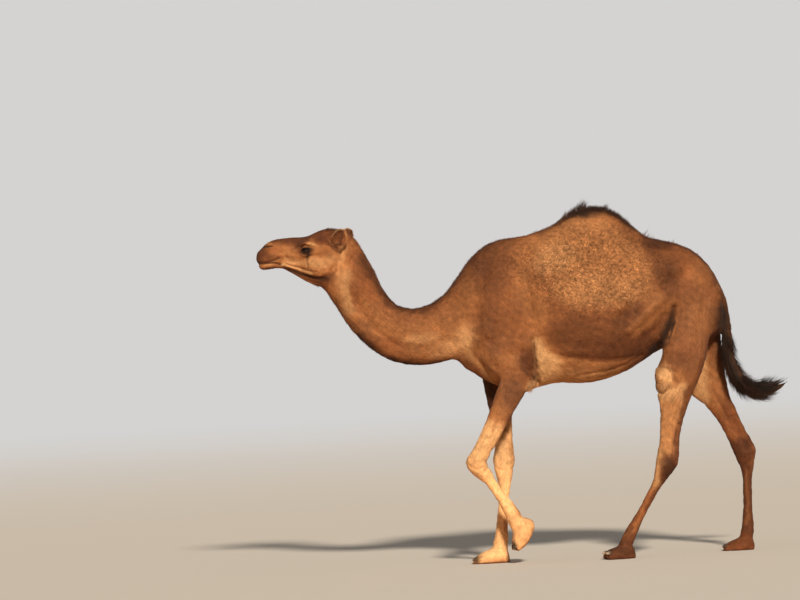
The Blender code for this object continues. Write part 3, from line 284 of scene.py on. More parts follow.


# ---------------------------------------------------------------- markings
# Painted in this order, each over the ones before it. Besides the coat's own markings, the list holds
# painted shade, painted shadows and a few painted highlights, each noted where it stands.
MARKINGS_AND_PAINTED_SHADING = [
    # neck
    area("tan", 0.45, 50, -1140, 1680, -1010, 1760, -970, 1620, -880, 1480, -740, 1430, -520, 1470,
         -360, 1580, -280, 1700, -290, 1520, -310, 1320, -420, 1250, -620, 1250, -800, 1290, -950, 1420,
         -1080, 1560),
    line("cream", 0.42, 34, -1040, 1780, -1050, 1660, -1030, 1560),
    line("tan", 0.45, 34, -930, 1620, -860, 1500, -760, 1420),
    spot("rust", 0.5, -995, 1660, 30, 120, tilt=10),
    spot("cream", 0.3, -620, 1360, 140, 40),
    spot("tan", 0.5, -870, 1440, 70, 50, tilt=-40),
    spot("tan", 0.45, -320, 1660, 60, 70, tilt=40),
    spot("rust", 0.4, -930, 1700, 50, 140, tilt=20),
    spot("grey", 0.5, -960, 1450, 60, 60, tilt=-40),
    line("dark", 0.8, 30, -960, 1880, -905, 1800, -860, 1700, -800, 1600, -720, 1552, -620, 1535,
         -530, 1565, -450, 1630, -360, 1740),
    # Painted shade under the neck: dark along its underside and black at its lower edge.
    line("dark", 0.85, 24, -1000, 1405, -930, 1335, -840, 1265, -740, 1222, -620, 1205, -500, 1205,
         -410, 1218),
    line("black", 0.72, 20, -985, 1395, -910, 1315, -845, 1262, -780, 1232, -700, 1210, -600, 1200),
    spot("dark", 0.4, -885, 1365, 75, 45, tilt=-38),
    area("cream", 0.52, 60, -540, 1270, -430, 1350, -350, 1420, -315, 1400, -310, 1310, -330, 1255,
         -420, 1250, -560, 1255),
    spot("cream", 0.45, -335, 1315, 35, 60, tilt=10),
    spot("rust", 0.48, -775, 1335, 95, 50, tilt=-22),
    # shoulder and chest
    area("dark", 0.52, 55, -360, 1800, -200, 1900, -50, 1900, -60, 1800, -100, 1680, -120, 1600, -230, 1620,
         -260, 1720),
    area("dark", 0.42, 45, -275, 1560, -160, 1600, -130, 1450, -150, 1330, -200, 1240, -255, 1280,
         -285, 1400),
    area("tan", 0.52, 50, -20, 1860, 60, 1900, 120, 1700, 130, 1500, 100, 1300, 55, 1300, 30, 1450,
         -30, 1580, -50, 1700),
    line("tan", 0.45, 26, 105, 1560, 80, 1430, 62, 1320),
    # Painted shade on the back of the upper arm, where it meets the flank.
    area("dark", 0.76, 27, -50, 1220, -10, 1270, 40, 1275, 54, 1200, 64, 1090, 20, 1090, -30, 1130),
    # Painted highlight: tan and cream along the lit lower edge of the chest.
    line("tan", 0.85, 34, -320, 1280, -250, 1195, -170, 1110),
    line("cream", 0.45, 22, -330, 1270, -260, 1185, -195, 1105),
    spot("tan", 0.35, -120, 1220, 90, 50, tilt=-20),
    # flank, hump and belly
    area("wool", 0.8, 55, 70, 1900, 200, 1980, 330, 2040, 450, 2050, 540, 2000, 620, 1910, 710, 1820,
         770, 1700, 760, 1580, 660, 1520, 450, 1500, 290, 1500, 200, 1560, 130, 1700),
    spot("cream", 0.14, 450, 1600, 280, 120, tilt=-4),
    spot("cream", 0.22, 200, 1800, 160, 100, tilt=15),
    area("dark", 0.5, 35, 140, 1420, 350, 1455, 550, 1460, 720, 1530, 820, 1580, 900, 1480, 870, 1320,
         780, 1220, 600, 1200, 400, 1215, 220, 1240, 100, 1320),
    area("dark", 0.55, 35, 300, 1330, 500, 1310, 660, 1300, 840, 1330, 800, 1220, 600, 1190, 400, 1205,
         280, 1235),
    area("tan", 0.55, 26, 600, 1345, 690, 1445, 780, 1510, 880, 1565, 895, 1500, 830, 1430, 740, 1370,
         650, 1320),
    line("dark", 0.35, 24, 540, 1410, 620, 1450, 700, 1510),
    # Tan over the lower belly: its own colour, brightened to paint light thrown up from the floor.
    area("tan", 0.78, 22, 50, 1340, 110, 1330, 190, 1245, 330, 1190, 520, 1170, 640, 1180, 600, 1090,
         420, 1030, 70, 1030),
    area("dark", 0.14, 35, 330, 1200, 520, 1180, 680, 1190, 740, 1200, 600, 1115, 480, 1085, 360, 1085),
    area("cream", 0.85, 30, 50, 1330, 85, 1320, 150, 1240, 215, 1190, 190, 1120, 160, 1060, 72, 1055),
    area("cream", 0.75, 22, 56, 1250, 110, 1230, 135, 1130, 120, 1050, 70, 1050),
    # Cream low on the belly: its own colour, brightened to paint light thrown up from the floor.
    spot("cream", 0.4, 320, 1105, 210, 55),
    # Painted shade in the lower flank fold.
    line("dark", 0.5, 10, 200, 1222, 300, 1198, 420, 1183, 550, 1180, 660, 1200),
    # Cream along the belly's lower edge: its own colour, and painted light thrown up from the floor.
    line("cream", 0.45, 16, 110, 1055, 250, 1060, 400, 1062, 520, 1088),
    line("tan", 0.55, 9, 220, 1205, 320, 1182, 440, 1168, 540, 1166),
    line("dark", 0.16, 8, 180, 1140, 300, 1118, 420, 1112, 520, 1126),
    # Painted shade along the underside of the belly.
    line("dark", 0.16, 10, 85, 1042, 200, 1046, 350, 1040, 450, 1054, 560, 1084, 640, 1120, 730, 1180),
    # Painted shade in the crease behind the elbow.
    line("dark", 0.7, 8, 46, 1330, 55, 1200, 70, 1062),
    spot("cream", 0.35, 560, 1128, 70, 12, tilt=18),
    # back line and crest
    line("dark", 0.8, 26, -340, 1780, -250, 1860, -160, 1915, -20, 1955, 100, 1975, 220, 2010),
    area("black", 0.9, 20, 270, 2035, 330, 2034, 430, 2036, 500, 2050, 560, 2036, 620, 1990, 700, 1935,
         640, 2100, 400, 2200, 280, 2120),
    line("dark", 0.8, 22, 560, 2060, 640, 2000, 720, 1940, 800, 1890),
    area("dark", 0.78, 30, 700, 1930, 800, 1910, 920, 1870, 900, 1830, 820, 1800, 750, 1820),
    spot("dark", 0.3, 840, 1700, 70, 100, tilt=20),
    line("dark", 0.75, 22, 800, 1890, 950, 1845, 1060, 1770, 1145, 1665, 1205, 1540),
    # croup and thigh
    area("rust", 0.42, 45, 820, 1820, 950, 1830, 1050, 1740, 1140, 1600, 1120, 1480, 1040, 1580, 940, 1680),
    area("dark", 0.42, 30, 840, 1680, 920, 1690, 950, 1600, 900, 1520, 850, 1560),
    area("tan", 0.35, 50, 920, 1500, 1060, 1620, 1160, 1520, 1120, 1340, 1020, 1280, 920, 1340),
    area("grey", 0.4, 40, 920, 1580, 1100, 1600, 1180, 1480, 1130, 1320, 1060, 1160, 990, 1050, 900, 1080,
         830, 1160, 860, 1280, 910, 1420),
    area("dark", 0.62, 22, 1195, 1560, 1225, 1500, 1205, 1420, 1130, 1250, 1030, 1020, 975, 990, 1020, 1120,
         1090, 1270, 1155, 1420, side=LEFT),
    area("dark", 0.45, 25, 865, 1220, 970, 1220, 950, 1150, 900, 1130, 850, 1150, side=LEFT),
    # Painted shade in the flank fold before the thigh.
    area("black", 0.84, 22, 885, 1470, 897, 1400, 868, 1320, 835, 1255, 785, 1205, 700, 1165, 730, 1225,
         785, 1295, 835, 1380),
    line("tan", 0.6, 6, 905, 1430, 888, 1360, 864, 1300, 848, 1265),
    area("dark", 0.42, 40, 740, 1920, 900, 1870, 930, 1720, 910, 1540, 850, 1500, 810, 1620, 770, 1780),
    area("dark", 0.35, 40, -400, 1700, -300, 1800, -200, 1880, -160, 1800, -200, 1640, -300, 1600),
    spot("tan", 0.45, 763, 1530, 85, 55, tilt=35),
    spot("tan", 0.35, 1060, 1670, 90, 80, tilt=-30),
    spot("tan", 0.55, -260, 1260, 60, 60),
    # left hind leg
    area("cream", 0.7, 20, 775, 1125, 830, 1145, 880, 1060, 940, 1020, 920, 930, 885, 820, 845, 680,
         825, 600, 755, 580, 765, 750, 775, 930, 757, 1020, side=LEFT),
    spot("tan", 0.75, 900, 1060, 50, 50, side=LEFT),
    area("tan", 0.75, 30, 920, 950, 900, 800, 860, 660, 840, 560, 760, 560, 770, 750, 775, 920, side=LEFT),
    line("grey", 0.6, 22, 925, 960, 895, 820, 870, 700, 850, 600, side=LEFT),
    spot("cream", 0.46, 805, 1075, 36, 26, side=LEFT),
    # Painted shade in the crease round the stifle.
    line("dark", 0.5, 12, 770, 1118, 820, 1128, 870, 1095, 885, 1040, side=LEFT),
    spot("rust", 0.45, 870, 1040, 30, 40, side=LEFT),
    # Painted shade in the creases below the stifle.
    line("dark", 0.6, 10, 762, 1045, 772, 1000, 790, 968, 822, 985, 842, 1030, side=LEFT),
    spot("grey", 0.5, 800, 1015, 26, 24, side=LEFT),
    area("dark", 0.55, 16, 985, 1020, 955, 900, 915, 760, 885, 620, 870, 550, 830, 560, 862, 700, 900, 860,
         935, 1000, side=LEFT),
    area("dark", 0.88, 22, 795, 620, 875, 580, 880, 500, 800, 430, 745, 420, 765, 500, side=LEFT),
    area("dark", 0.62, 20, 745, 500, 800, 420, 700, 270, 620, 110, 490, 110, 560, 210, 650, 340, 715, 440,
         side=LEFT),
    line("cream", 0.55, 20, 760, 620, 748, 520, 728, 430, side=LEFT),
    line("tan", 0.75, 11, 722, 430, 670, 330, 610, 210, 590, 160, side=LEFT),
    line("rust", 0.4, 16, 700, 390, 640, 280, 590, 170, side=LEFT),
    line("dark", 0.7, 18, 790, 410, 720, 280, 655, 150, 610, 80, side=LEFT),
    spot("dark", 0.85, 520, 60, 160, 80, side=LEFT),
    spot("black", 0.45, 815, 520, 50, 80, tilt=20, side=LEFT),
    # right hind leg
    area("cream", 0.58, 22, 985, 930, 1030, 1150, 1085, 1160, 1095, 1000, 1085, 860, 1040, 880, side=RIGHT),
    area("tan", 0.55, 30, 1090, 1200, 1160, 1180, 1200, 1000, 1170, 860, 1100, 860, side=RIGHT),
    line("rust", 0.55, 55, 1190, 860, 1250, 740, 1310, 640, side=RIGHT),
    area("dark", 0.22, 40, 1060, 1200, 1200, 1180, 1240, 900, 1340, 600, 1340, 30, 1120, 30, 1200, 600,
         side=RIGHT),
    area("dark", 0.9, 30, 1180, 660, 1340, 680, 1340, 450, 1330, 60, 1200, 60, 1250, 400, side=RIGHT),
    spot("rust", 0.85, 1235, 45, 150, 60, side=RIGHT),
    spot("dark", 0.35, 1235, 45, 150, 60, side=RIGHT),
    line("tan", 0.22, 10, 1290, 480, 1288, 300, 1280, 160, side=RIGHT),
    # forelegs
    area("grey", 0.8, 35, -165, 1060, -100, 1100, -20, 1080, 20, 1000, -60, 920, -110, 840, -150, 880,
         -165, 970, side=LEFT),
    area("tan", 0.8, 35, -215, 940, -155, 970, -120, 900, -160, 790, -260, 800, side=LEFT),
    area("cream", 0.92, 40, -250, 860, -170, 840, -130, 790, -100, 300, 50, 240, 50, 60, -200, 40,
         -260, 400, -420, 500, -420, 720, side=LEFT),
    area("cream", 0.8, 14, 0, 1045, 35, 1085, 62, 1070, 85, 1050, 45, 1000, 0, 975, side=LEFT),
    # Painted shade over the top of the far foreleg, under the chest.
    area("dark", 0.7, 40, -280, 1200, -150, 1150, -100, 1000, -100, 880, -240, 860, side=RIGHT),
    area("cream", 0.96, 40, -260, 820, -80, 860, -20, 400, -100, 30, -400, 0, -300, 300, -260, 600,
         side=RIGHT),
    spot("dark", 0.14, -85, 1000, 36, 80, tilt=-28, side=LEFT),
    spot("rust", 0.32, -340, 635, 20, 34, tilt=10, side=LEFT),
    line("tan", 0.6, 8, -150, 930, -190, 860, -215, 800, side=LEFT),
    spot("rust", 0.2, -30, 170, 40, 75, side=LEFT),
    spot("tan", 0.34, -52, 185, 75, 70, side=LEFT),
    line("tan", 0.5, 10, -125, 790, -112, 700, -108, 620, side=RIGHT),
    # Painted shadow of the near foreleg on the far foreleg.
    area("dark", 0.6, 22, -300, 1220, -170, 1100, -130, 950, -120, 800, -145, 700, -200, 820, -260, 1000,
         side=RIGHT),
    # Painted shadow of the near cannon on the far cannon.
    spot("brown", 0.62, -150, 230, 30, 75, tilt=8, side=RIGHT),
    # Painted shade, black, between the chest and the top of the far foreleg.
    area("black", 0.45, 22, -340, 1230, -200, 1160, -170, 1000, -190, 900, -260, 1000, side=RIGHT),
    spot("black", 0.85, -140, 105, 44, 36, side=LEFT),
    spot("black", 0.85, -350, 35, 36, 36, side=RIGHT),
    spot("dark", 0.6, 425, 50, 30, 40, side=LEFT),
    spot("dark", 0.6, 1135, 45, 30, 36, side=RIGHT),
    # tail
    line("black", 0.96, 60, 1195, 1440, 1200, 1235, 1225, 1100, 1300, 960, 1400, 930, 1560, 1000),
    line("dark", 0.6, 16, 1225, 1500, 1238, 1350, 1245, 1200),
]

# The face's markings, with painted shade in the slits and under the lip and jaw, and a painted highlight on
# the jaw's edge.
FACE_MARKINGS_AND_PAINTED_SHADING = [
    area("tan", 0.85, 30, -1470, 1950, -1300, 1940, -1210, 1950, -1120, 1950, -1020, 1950, -1030, 1800,
         -1100, 1760, -1250, 1780, -1400, 1840, -1460, 1870),
    spot("cream", 0.5, -1350, 1862, 70, 24, tilt=-12),
    spot("cream", 0.38, -1215, 1845, 85, 40, tilt=-12),
    spot("cream", 0.3, -1125, 1870, 40, 35),
    spot("rust", 0.45, -1150, 1905, 50, 30, tilt=-20),
    line("cream", 0.35, 15, -1045, 1955, -1050, 1890, -1070, 1840),
    line("cream", 0.2, 24, -1075, 1800, -1085, 1740, -1070, 1680),
    spot("rust", 0.55, -1455, 1935, 55, 24, tilt=-10),
    spot("rust", 0.55, -1430, 1893, 50, 14, tilt=-8),
    spot("rust", 0.45, -1225, 1898, 50, 12, tilt=-5),
    spot("dark", 0.9, -1560, 1890, 36, 55, tilt=20),
    spot("dark", 0.75, -1525, 1935, 40, 46, tilt=-20),
    spot("dark", 0.62, -1500, 1890, 54, 35),
    area("dark", 0.92, 20, -1540, 1970, -1500, 1985, -1440, 1972, -1360, 1964, -1300, 1958, -1255, 1978,
         -1200, 2005, -1120, 2020, -990, 2020, -1000, 2100, -1600, 2100),
    area("dark", 0.85, 18, -1355, 1985, -1250, 1985, -1272, 1950, -1285, 1912, -1320, 1922),
    area("rust", 0.8, 22, -1215, 2010, -1120, 2030, -1090, 1970, -1140, 1940, -1200, 1960),
    area("dark", 0.5, 22, -1220, 2000, -1120, 2020, -1060, 2000, -1120, 1955, -1200, 1975),
    spot("dark", 0.55, -1180, 2000, 36, 26, tilt=20),
    spot("dark", 0.6, -1170, 1985, 55, 35, tilt=10),
    spot("dark", 0.35, -1120, 2020, 60, 30),
    spot("cream", 0.4, -1232, 1956, 30, 14, tilt=-22),
    spot("dark", 0.9, -1268, 1915, 54, 30, tilt=8),
    spot("black", 0.92, -1260, 1920, 36, 21, tilt=8),
    spot("dark", 0.6, -1253, 1893, 32, 14, tilt=5),
    spot("black", 0.75, -1255, 1893, 12, 10, tilt=5),
    line("black", 0.72, 5.2, -1252, 1895, -1258, 1880, -1264, 1862),
    line("dark", 0.8, 4.2, -1264, 1862, -1260, 1840, -1263, 1815),
    line("tan", 0.8, 5, -1522, 1970, -1500, 1976, -1475, 1974),
    # Painted shade in the nostril slit.
    line("black", 0.9, 4.6, -1520, 1957, -1500, 1957, -1465, 1960),
    line("tan", 0.85, 8.5, -1548, 1843, -1500, 1842, -1450, 1848),
    line("cream", 0.35, 7, -1510, 1845, -1470, 1848),
    line("tan", 0.75, 7, -1485, 1864, -1440, 1868, -1405, 1872),
    # Painted shade: black in the mouth's slit, then dark for the shadow under the upper lip.
    line("black", 0.75, 3.6, -1550, 1860, -1500, 1858, -1455, 1857, -1424, 1849),
    line("dark", 0.9, 6.5, -1560, 1864, -1520, 1862, -1488, 1866, -1458, 1874, -1428, 1886),
    line("dark", 0.7, 7.5, -1552, 1826, -1500, 1824, -1450, 1828),
    # Painted shade in the corner of the mouth.
    spot("black", 0.8, -1420, 1848, 10, 8, tilt=-30),
    # Painted highlight on the lit edge of the jaw, then painted shade in the crease above it.
    line("cream", 0.7, 8, -1410, 1846, -1355, 1827, -1295, 1804, -1245, 1785),
    line("dark", 0.65, 3.5, -1385, 1848, -1330, 1828, -1270, 1806, -1215, 1788),
    # Painted shadow under the jaw, dark with black in it, widening and fading at its rear.
    line("dark", 0.9, 13.5, -1400, 1826, -1340, 1798, -1290, 1778, -1235, 1759, -1190, 1747, -1140, 1750),
    line("black", 0.7, 8, -1375, 1816, -1330, 1795, -1280, 1774, -1230, 1758, -1180, 1748),
    spot("black", 0.5, -1190, 1748, 50, 18, tilt=4),
    spot("dark", 0.6, -1135, 1760, 45, 22, tilt=15),
    area("rust", 0.6, 15, -1300, 1765, -1150, 1730, -1140, 1680, -1300, 1700),
    spot("dark", 0.35, -1180, 1725, 70, 30, tilt=20),
    spot("dark", 0.8, -1102, 1945, 28, 28, tilt=-20),
    spot("dark", 0.7, -1085, 1918, 20, 14, tilt=-40),
    spot("dark", 0.65, -1058, 1917, 10, 11),
    spot("brown", 0.55, -985, 1860, 50, 90, tilt=30),
]


def beyond_graft(places):
    """How far each place lies beyond the graft, towards the head."""
    return (places - np.array(GRAFT_POINT)) @ np.array(GRAFT_NORMAL)


def on_ears(places):
    """1 on the ears and 0 on the rest of the head."""
    off_skull = soft(np.abs(places[:, 1]), 0.066, 0.078) * (places[:, 0] < -0.90)
    return off_skull * soft(places[:, 0], -1.155, -1.135) * soft(places[:, 2], 1.925, 1.950)


def ear_colour(places, palette):
    """Painted shade low in the ear's hollow, red-brown above and light along the rims."""
    colour = np.tile(np.array(palette.rust) * 0.80 + np.array(palette.tan) * 0.55, (len(places), 1))
    for side, hand in HANDS:
        low, high = (np.array(corner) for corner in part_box(f"ear_{hand}"))
        middle = (low + high) / 2
        off = (places - middle) / (high - low)
        here = on_side(places, side)
        # Painted shade deep in the ear's hollow.
        hollow = Spot("dark", 0.88, (middle[0] - 0.008, middle[2] - 0.028), (0.030, 0.034), 20)
        colour = tinted(colour, palette.dark, hollow.amount * reach_of(hollow, places) * here)
        edge = soft(np.hypot(off[:, 0], off[:, 2]), 0.36, 0.47)
        edge = edge * soft(places[:, 2], middle[2] - 0.020, middle[2] + 0.015)
        colour = tinted(colour, palette.tan, 0.8 * edge * here)
        back = soft(0.072 + 0.26 * (places[:, 2] - 1.914) - np.abs(places[:, 1]), -0.001, 0.004)
        colour = tinted(colour, palette.dark, 0.85 * back * here)
    return colour


def coat_colour(places):
    """Colour of skin and hair at each place, with painted shade and light, before the materials' finer
    grain.
    """
    palette = bpy.context.scene.camel_markings
    ahead = 1 - soft(places[:, 0], -1.12, -1.00)
    waver = np.stack([mottle(places, 0.085, seed) for seed in (11, 12, 13)], axis=1)
    moved = places + waver * (0.008 - 0.0062 * ahead)[:, None]
    colour = painted(np.tile(np.array(palette.brown), (len(places), 1)), MARKINGS_AND_PAINTED_SHADING, moved)
    head = soft(beyond_graft(places), 0.010, 0.050)
    colour = tinted(colour, painted(colour, FACE_MARKINGS_AND_PAINTED_SHADING, moved), head)
    colour = tinted(colour, ear_colour(places, palette), on_ears(places))
    colour = tinted(colour, palette.dark, 0.8 * (1 - soft(places[:, 2], 0.006, 0.014)))
    below_elbow, below_knee = 1 - soft(places[:, 2], 0.80, 1.00), 1 - soft(places[:, 2], 0.50, 0.66)
    forelegs = (1 - soft(places[:, 0], 0.10, 0.25)) * (0.06 * below_elbow + 0.26 * below_knee)
    weathered = 0.75 + 0.10 * head + forelegs
    patchy = weathered * (1 + 0.13 * mottle(places, 0.16, 21) + 0.10 * mottle(places, 0.045, 22))
    flecked = 1 + (0.18 - 0.12 * head) * mottle(places, 0.022, 23) + 0.07 * mottle(places, 0.011, 24)
    patchy = patchy * flecked
    curly = 0.50 * mottle(places, 0.015, 75) + 0.16 * mottle(places, 0.040, 76)
    return np.clip(colour * (patchy * (1 + woolliness(places) * curly))[:, None], 0.0, 1.0)


# Where the coat is curled wool.
WOOLLY = (
    spot("hump and flank", 1.0, 420, 1730, 420, 290),
    spot("before the hump", 0.6, 100, 1800, 220, 130, tilt=15),
)

# ---------------------------------------------------------------- forms carved into the skin
# Raised (+) or sunk (-) by this many metres along the skin.
BODY_FORMS = [
    line("shoulder blade", 0.01, 50, -30, 1800, -120, 1600, -205, 1400),
    line("before the shoulder blade", -0.01, 34, -205, 1800, -245, 1640, -275, 1500, -290, 1380),
    line("behind the shoulder", -0.014, 40, 40, 1800, 30, 1600, 48, 1400),
    line("ribs rise", 0.007, 40, 120, 1720, 105, 1550, 100, 1380),
    line("elbow fold", -0.02, 9, 46, 1330, 56, 1200, 72, 1062),
    line("arm before the fold", 0.008, 20, 10, 1290, 20, 1180, 36, 1080),
    line("upper arm edge", -0.008, 22, -215, 1340, -120, 1240, 0, 1260),
    line("arm and chest", -0.006, 14, -180, 1180, -80, 1150, 20, 1140),
    line("chest edge", 0.006, 18, -300, 1290, -235, 1205, -170, 1125),
    line("throat groove", -0.009, 24, -1000, 1630, -920, 1470, -790, 1345, -620, 1305, -450, 1350),
    line("neck ridge", 0.005, 34, -960, 1700, -870, 1530, -740, 1430, -560, 1430),
    line("neck's lower edge", 0.004, 20, -1030, 1530, -920, 1380, -780, 1270, -600, 1245),
    spot("neck base hollow", -0.01, -400, 1500, 70, 110, tilt=-20),
    spot("breast", 0.006, -370, 1340, 60, 70),
    line("lower flank fold", -0.006, 15, 150, 1240, 240, 1212, 400, 1187, 570, 1182, 680, 1205),
    line("above the fold", 0.005, 24, 220, 1250, 400, 1225, 560, 1222),
    line("under the fold", 0.003, 20, 130, 1195, 300, 1160, 520, 1145),
    line("belly edge", -0.006, 10, 300, 1095, 480, 1115, 600, 1150, 700, 1200),
    line("flank hollow", -0.008, 30, 560, 1425, 640, 1490, 720, 1555),
    line("groin ridge", 0.013, 26, 610, 1350, 690, 1415, 770, 1480, 865, 1550),
    line("before the thigh", -0.012, 30, 700, 1290, 780, 1340, 840, 1420),
    line("flank fold", -0.026, 14, 892, 1470, 872, 1380, 836, 1280),
    line("flank fold edge", 0.01, 14, 915, 1450, 895, 1360, 865, 1275),
    spot("hip bone", 0.016, 895, 1705, 70, 48, tilt=-30),
    spot("hollow under the hip", -0.01, 865, 1590, 50, 75, tilt=-10),
    spot("pin bone", 0.012, 1160, 1530, 45, 50),
    line("thigh muscles", -0.008, 22, 1085, 1520, 1030, 1320, 990, 1130),
    line("front of the thigh", -0.006, 20, 935, 1400, 920, 1270, 900, 1160),
    spot("stifle, left", 0.004, 806, 1070, 36, 34, side=LEFT),
    spot("stifle, right", 0.01, 1000, 1055, 36, 42, side=RIGHT),
    line("round the stifle", -0.006, 9, 785, 1125, 830, 1118, 852, 1080, 862, 1030, side=LEFT),
    line("across the stifle", -0.005, 6, 765, 1030, 800, 1018, 828, 1032, 842, 1062, side=LEFT),
    line("below the stifle", -0.008, 7, 765, 975, 800, 962, 845, 992, side=LEFT),
    line("stifle fold", 0.004, 9, 775, 1000, 810, 992, 840, 1014, side=LEFT),
    line("behind the stifle", -0.005, 12, 880, 1090, 892, 1040, 880, 990, side=LEFT),
    line("shin and calf", -0.007, 12, 905, 980, 870, 850, 835, 700, side=LEFT),
    line("shin and calf", -0.007, 12, 1115, 960, 1180, 820, 1250, 690, side=RIGHT),
    line("heel tendon, left", -0.013, 9, 885, 780, 855, 650, 842, 585, side=LEFT),
    line("heel tendon, right", -0.013, 9, 1225, 800, 1285, 675, 1302, 605, side=RIGHT),
    spot("hock, left", 0.005, 800, 530, 30, 40, tilt=20, side=LEFT),
    spot("hock, right", 0.005, 1295, 560, 26, 36, side=RIGHT),
    line("hind cannon, left", -0.004, 6, 780, 450, 695, 320, 585, 165, side=LEFT),
    line("hind cannon, right", -0.004, 6, 1300, 480, 1292, 300, 1282, 150, side=RIGHT),
    spot("knee pad, left", 0.006, -350, 632, 22, 34, tilt=20, side=LEFT),
    spot("knee pad, right", 0.006, -200, 615, 22, 36, side=RIGHT),
    line("knee fold", -0.006, 9, -225, 690, -230, 610, -275, 555, side=LEFT),
    line("knee joint", -0.003, 7, -360, 590, -320, 575, -270, 590, side=LEFT),
    line("knee joint", -0.003, 7, -195, 560, -140, 550, -90, 565, side=RIGHT),
    line("fore cannon, left", -0.004, 6, -240, 500, -185, 415, -125, 330, side=LEFT),
    line("fore cannon, right", -0.004, 6, -142, 500, -165, 330, -190, 170, side=RIGHT),
    line("forearm muscles", -0.006, 11, -125, 1020, -180, 880, -240, 740, side=LEFT),
    line("forearm muscles", -0.006, 10, -155, 980, -145, 840, -130, 700, side=RIGHT),
]

HEAD_FORMS = [
    line("nostril", -0.008, 3.4, -1500, 1957, -1488, 1957, -1464, 1960),
    line("nostril upper rim", 0.0022, 4.2, -1492, 1966, -1480, 1967, -1466, 1969),
    line("nostril lower rim", 0.0018, 4, -1496, 1947, -1484, 1948, -1468, 1950),
    line("mouth", -0.0085, 3.2, -1566, 1862, -1530, 1858, -1496, 1858, -1455, 1857, -1424, 1849),
    line("upper lip", 0.003, 6.5, -1552, 1878, -1520, 1874, -1490, 1876),
    line("lower lip", 0.0025, 5.5, -1545, 1846, -1500, 1847, -1455, 1848),
    line("lip fold", -0.0045, 4.2, -1505, 1866, -1480, 1868, -1455, 1876, -1425, 1889),
    line("lip above the fold", 0.003, 8.5, -1500, 1884, -1465, 1888, -1438, 1900),
    spot("corner of the mouth", -0.005, -1420, 1849, 10, 8, tilt=-30),
    line("jaw edge", 0.0028, 8.5, -1412, 1843, -1355, 1824, -1295, 1801, -1245, 1780, -1190, 1770),
    line("under the jaw", -0.0058, 9, -1385, 1820, -1340, 1799, -1290, 1778, -1235, 1760, -1165, 1750),
    line("above the jaw edge", -0.0045, 5, -1390, 1852, -1330, 1830, -1265, 1806, -1210, 1790),
    line("cheek crest", 0.0035, 10, -1375, 1900, -1320, 1893, -1255, 1882),
    line("muscle of the cheek", -0.0035, 7, -1262, 1880, -1262, 1845, -1255, 1815),
    line("jaw angle", 0.005, 14, -1175, 1780, -1140, 1790, -1118, 1830),
    line("behind the jaw", -0.008, 12, -1120, 1760, -1085, 1790, -1070, 1850),
    line("nose side", -0.003, 10, -1450, 1962, -1400, 1955, -1340, 1952),
    line("nose wrinkle", -0.0022, 3.5, -1455, 1938, -1430, 1930, -1410, 1912),
    line("nose wrinkle", -0.0022, 3.5, -1440, 1950, -1412, 1943, -1390, 1925),
    line("brow", 0.006, 11, -1305, 1946, -1280, 1960, -1245, 1964, -1215, 1952),
    line("brow crease", -0.0035, 3.5, -1290, 1946, -1262, 1951, -1232, 1943),
    line("bag under the eye", 0.0035, 6, -1292, 1902, -1262, 1894, -1232, 1903),
    line("crease under the eye", -0.003, 3.5, -1300, 1890, -1262, 1881, -1225, 1892),
    spot("before the eye", -0.006, -1318, 1955, 30, 26, tilt=-10),
    spot("temple hollow", -0.0085, -1175, 1965, 36, 26, tilt=-20),
    line("ear root fold", -0.006, 8, -1118, 1975, -1105, 1945, -1080, 1918),
    line("throat", -0.004, 8, -1330, 1775, -1260, 1742, -1190, 1716),
]


def carved(places, normals, forms, least_width=0.0):
    """Moves places out or in along their normals by every form. least_width keeps the midline alone."""
    rise = np.zeros(len(places))
    sideways = soft(np.abs(normals[:, 1]), 0.45, 0.80)
    for form in forms:
        share = sideways if form.what.startswith("nostril") else 1.0
        rise += form.amount * reach_of(form, places) * share
    aside = soft(np.abs(places[:, 1]), least_width * 0.5, least_width) if least_width else 1.0
    return places + normals * (rise * aside)[:, None]


# ---------------------------------------------------------------- mesh helpers
def select_only(*objects):
    bpy.ops.object.select_all(action="DESELECT")
    for obj in objects:
        obj.select_set(True)
    bpy.context.view_layer.objects.active = objects[0]


def modify(obj, kind, **values):
    """Adds a modifier with these values and applies it."""
    modifier = obj.modifiers.new(kind.title(), kind)
    for name, value in values.items():
        setattr(modifier, name, value)
    select_only(obj)
    bpy.ops.object.modifier_apply(modifier=modifier.name)


def read(collection, name, width=3, kind=np.float32):
    """One property of everything in a mesh collection, as an array with a row for each."""
    found = np.empty(len(collection) * width, kind)
    collection.foreach_get(name, found)
    return found.reshape(-1, width)


def in_edit_mode(obj):
    """Opens obj alone in edit mode with all of it selected."""
    select_only(obj)
    bpy.ops.object.mode_set(mode="EDIT")
    bpy.ops.mesh.select_all(action="SELECT")


def places_of(mesh):
    return read(mesh.vertices, "co").astype(float)


def normals_of(mesh):
    return read(mesh.vertex_normals, "vector").astype(float)


def set_places(mesh, places):
    mesh.vertices.foreach_set("co", places.astype(np.float32).ravel())
    mesh.update()


def triangles_of(mesh):
    mesh.calc_loop_triangles()
    return read(mesh.loop_triangles, "vertices", kind=np.int32)


def unit(vectors):
    return vectors / np.maximum(np.linalg.norm(vectors, axis=-1, keepdims=True), 1e-12)


def paint(mesh, name, colours):
    """Stores a colour for each vertex."""
    layer = mesh.color_attributes.new(name=name, type="FLOAT_COLOR", domain="POINT")
    rgba = np.ones((len(colours), 4), np.float32)
    rgba[:, :3] = colours
    layer.data.foreach_set("color", rgba.ravel())


def store(mesh, name, values):
    """Stores a number for each vertex."""
    layer = mesh.attributes.new(name, "FLOAT", "POINT")
    layer.data.foreach_set("value", np.asarray(values, np.float32))


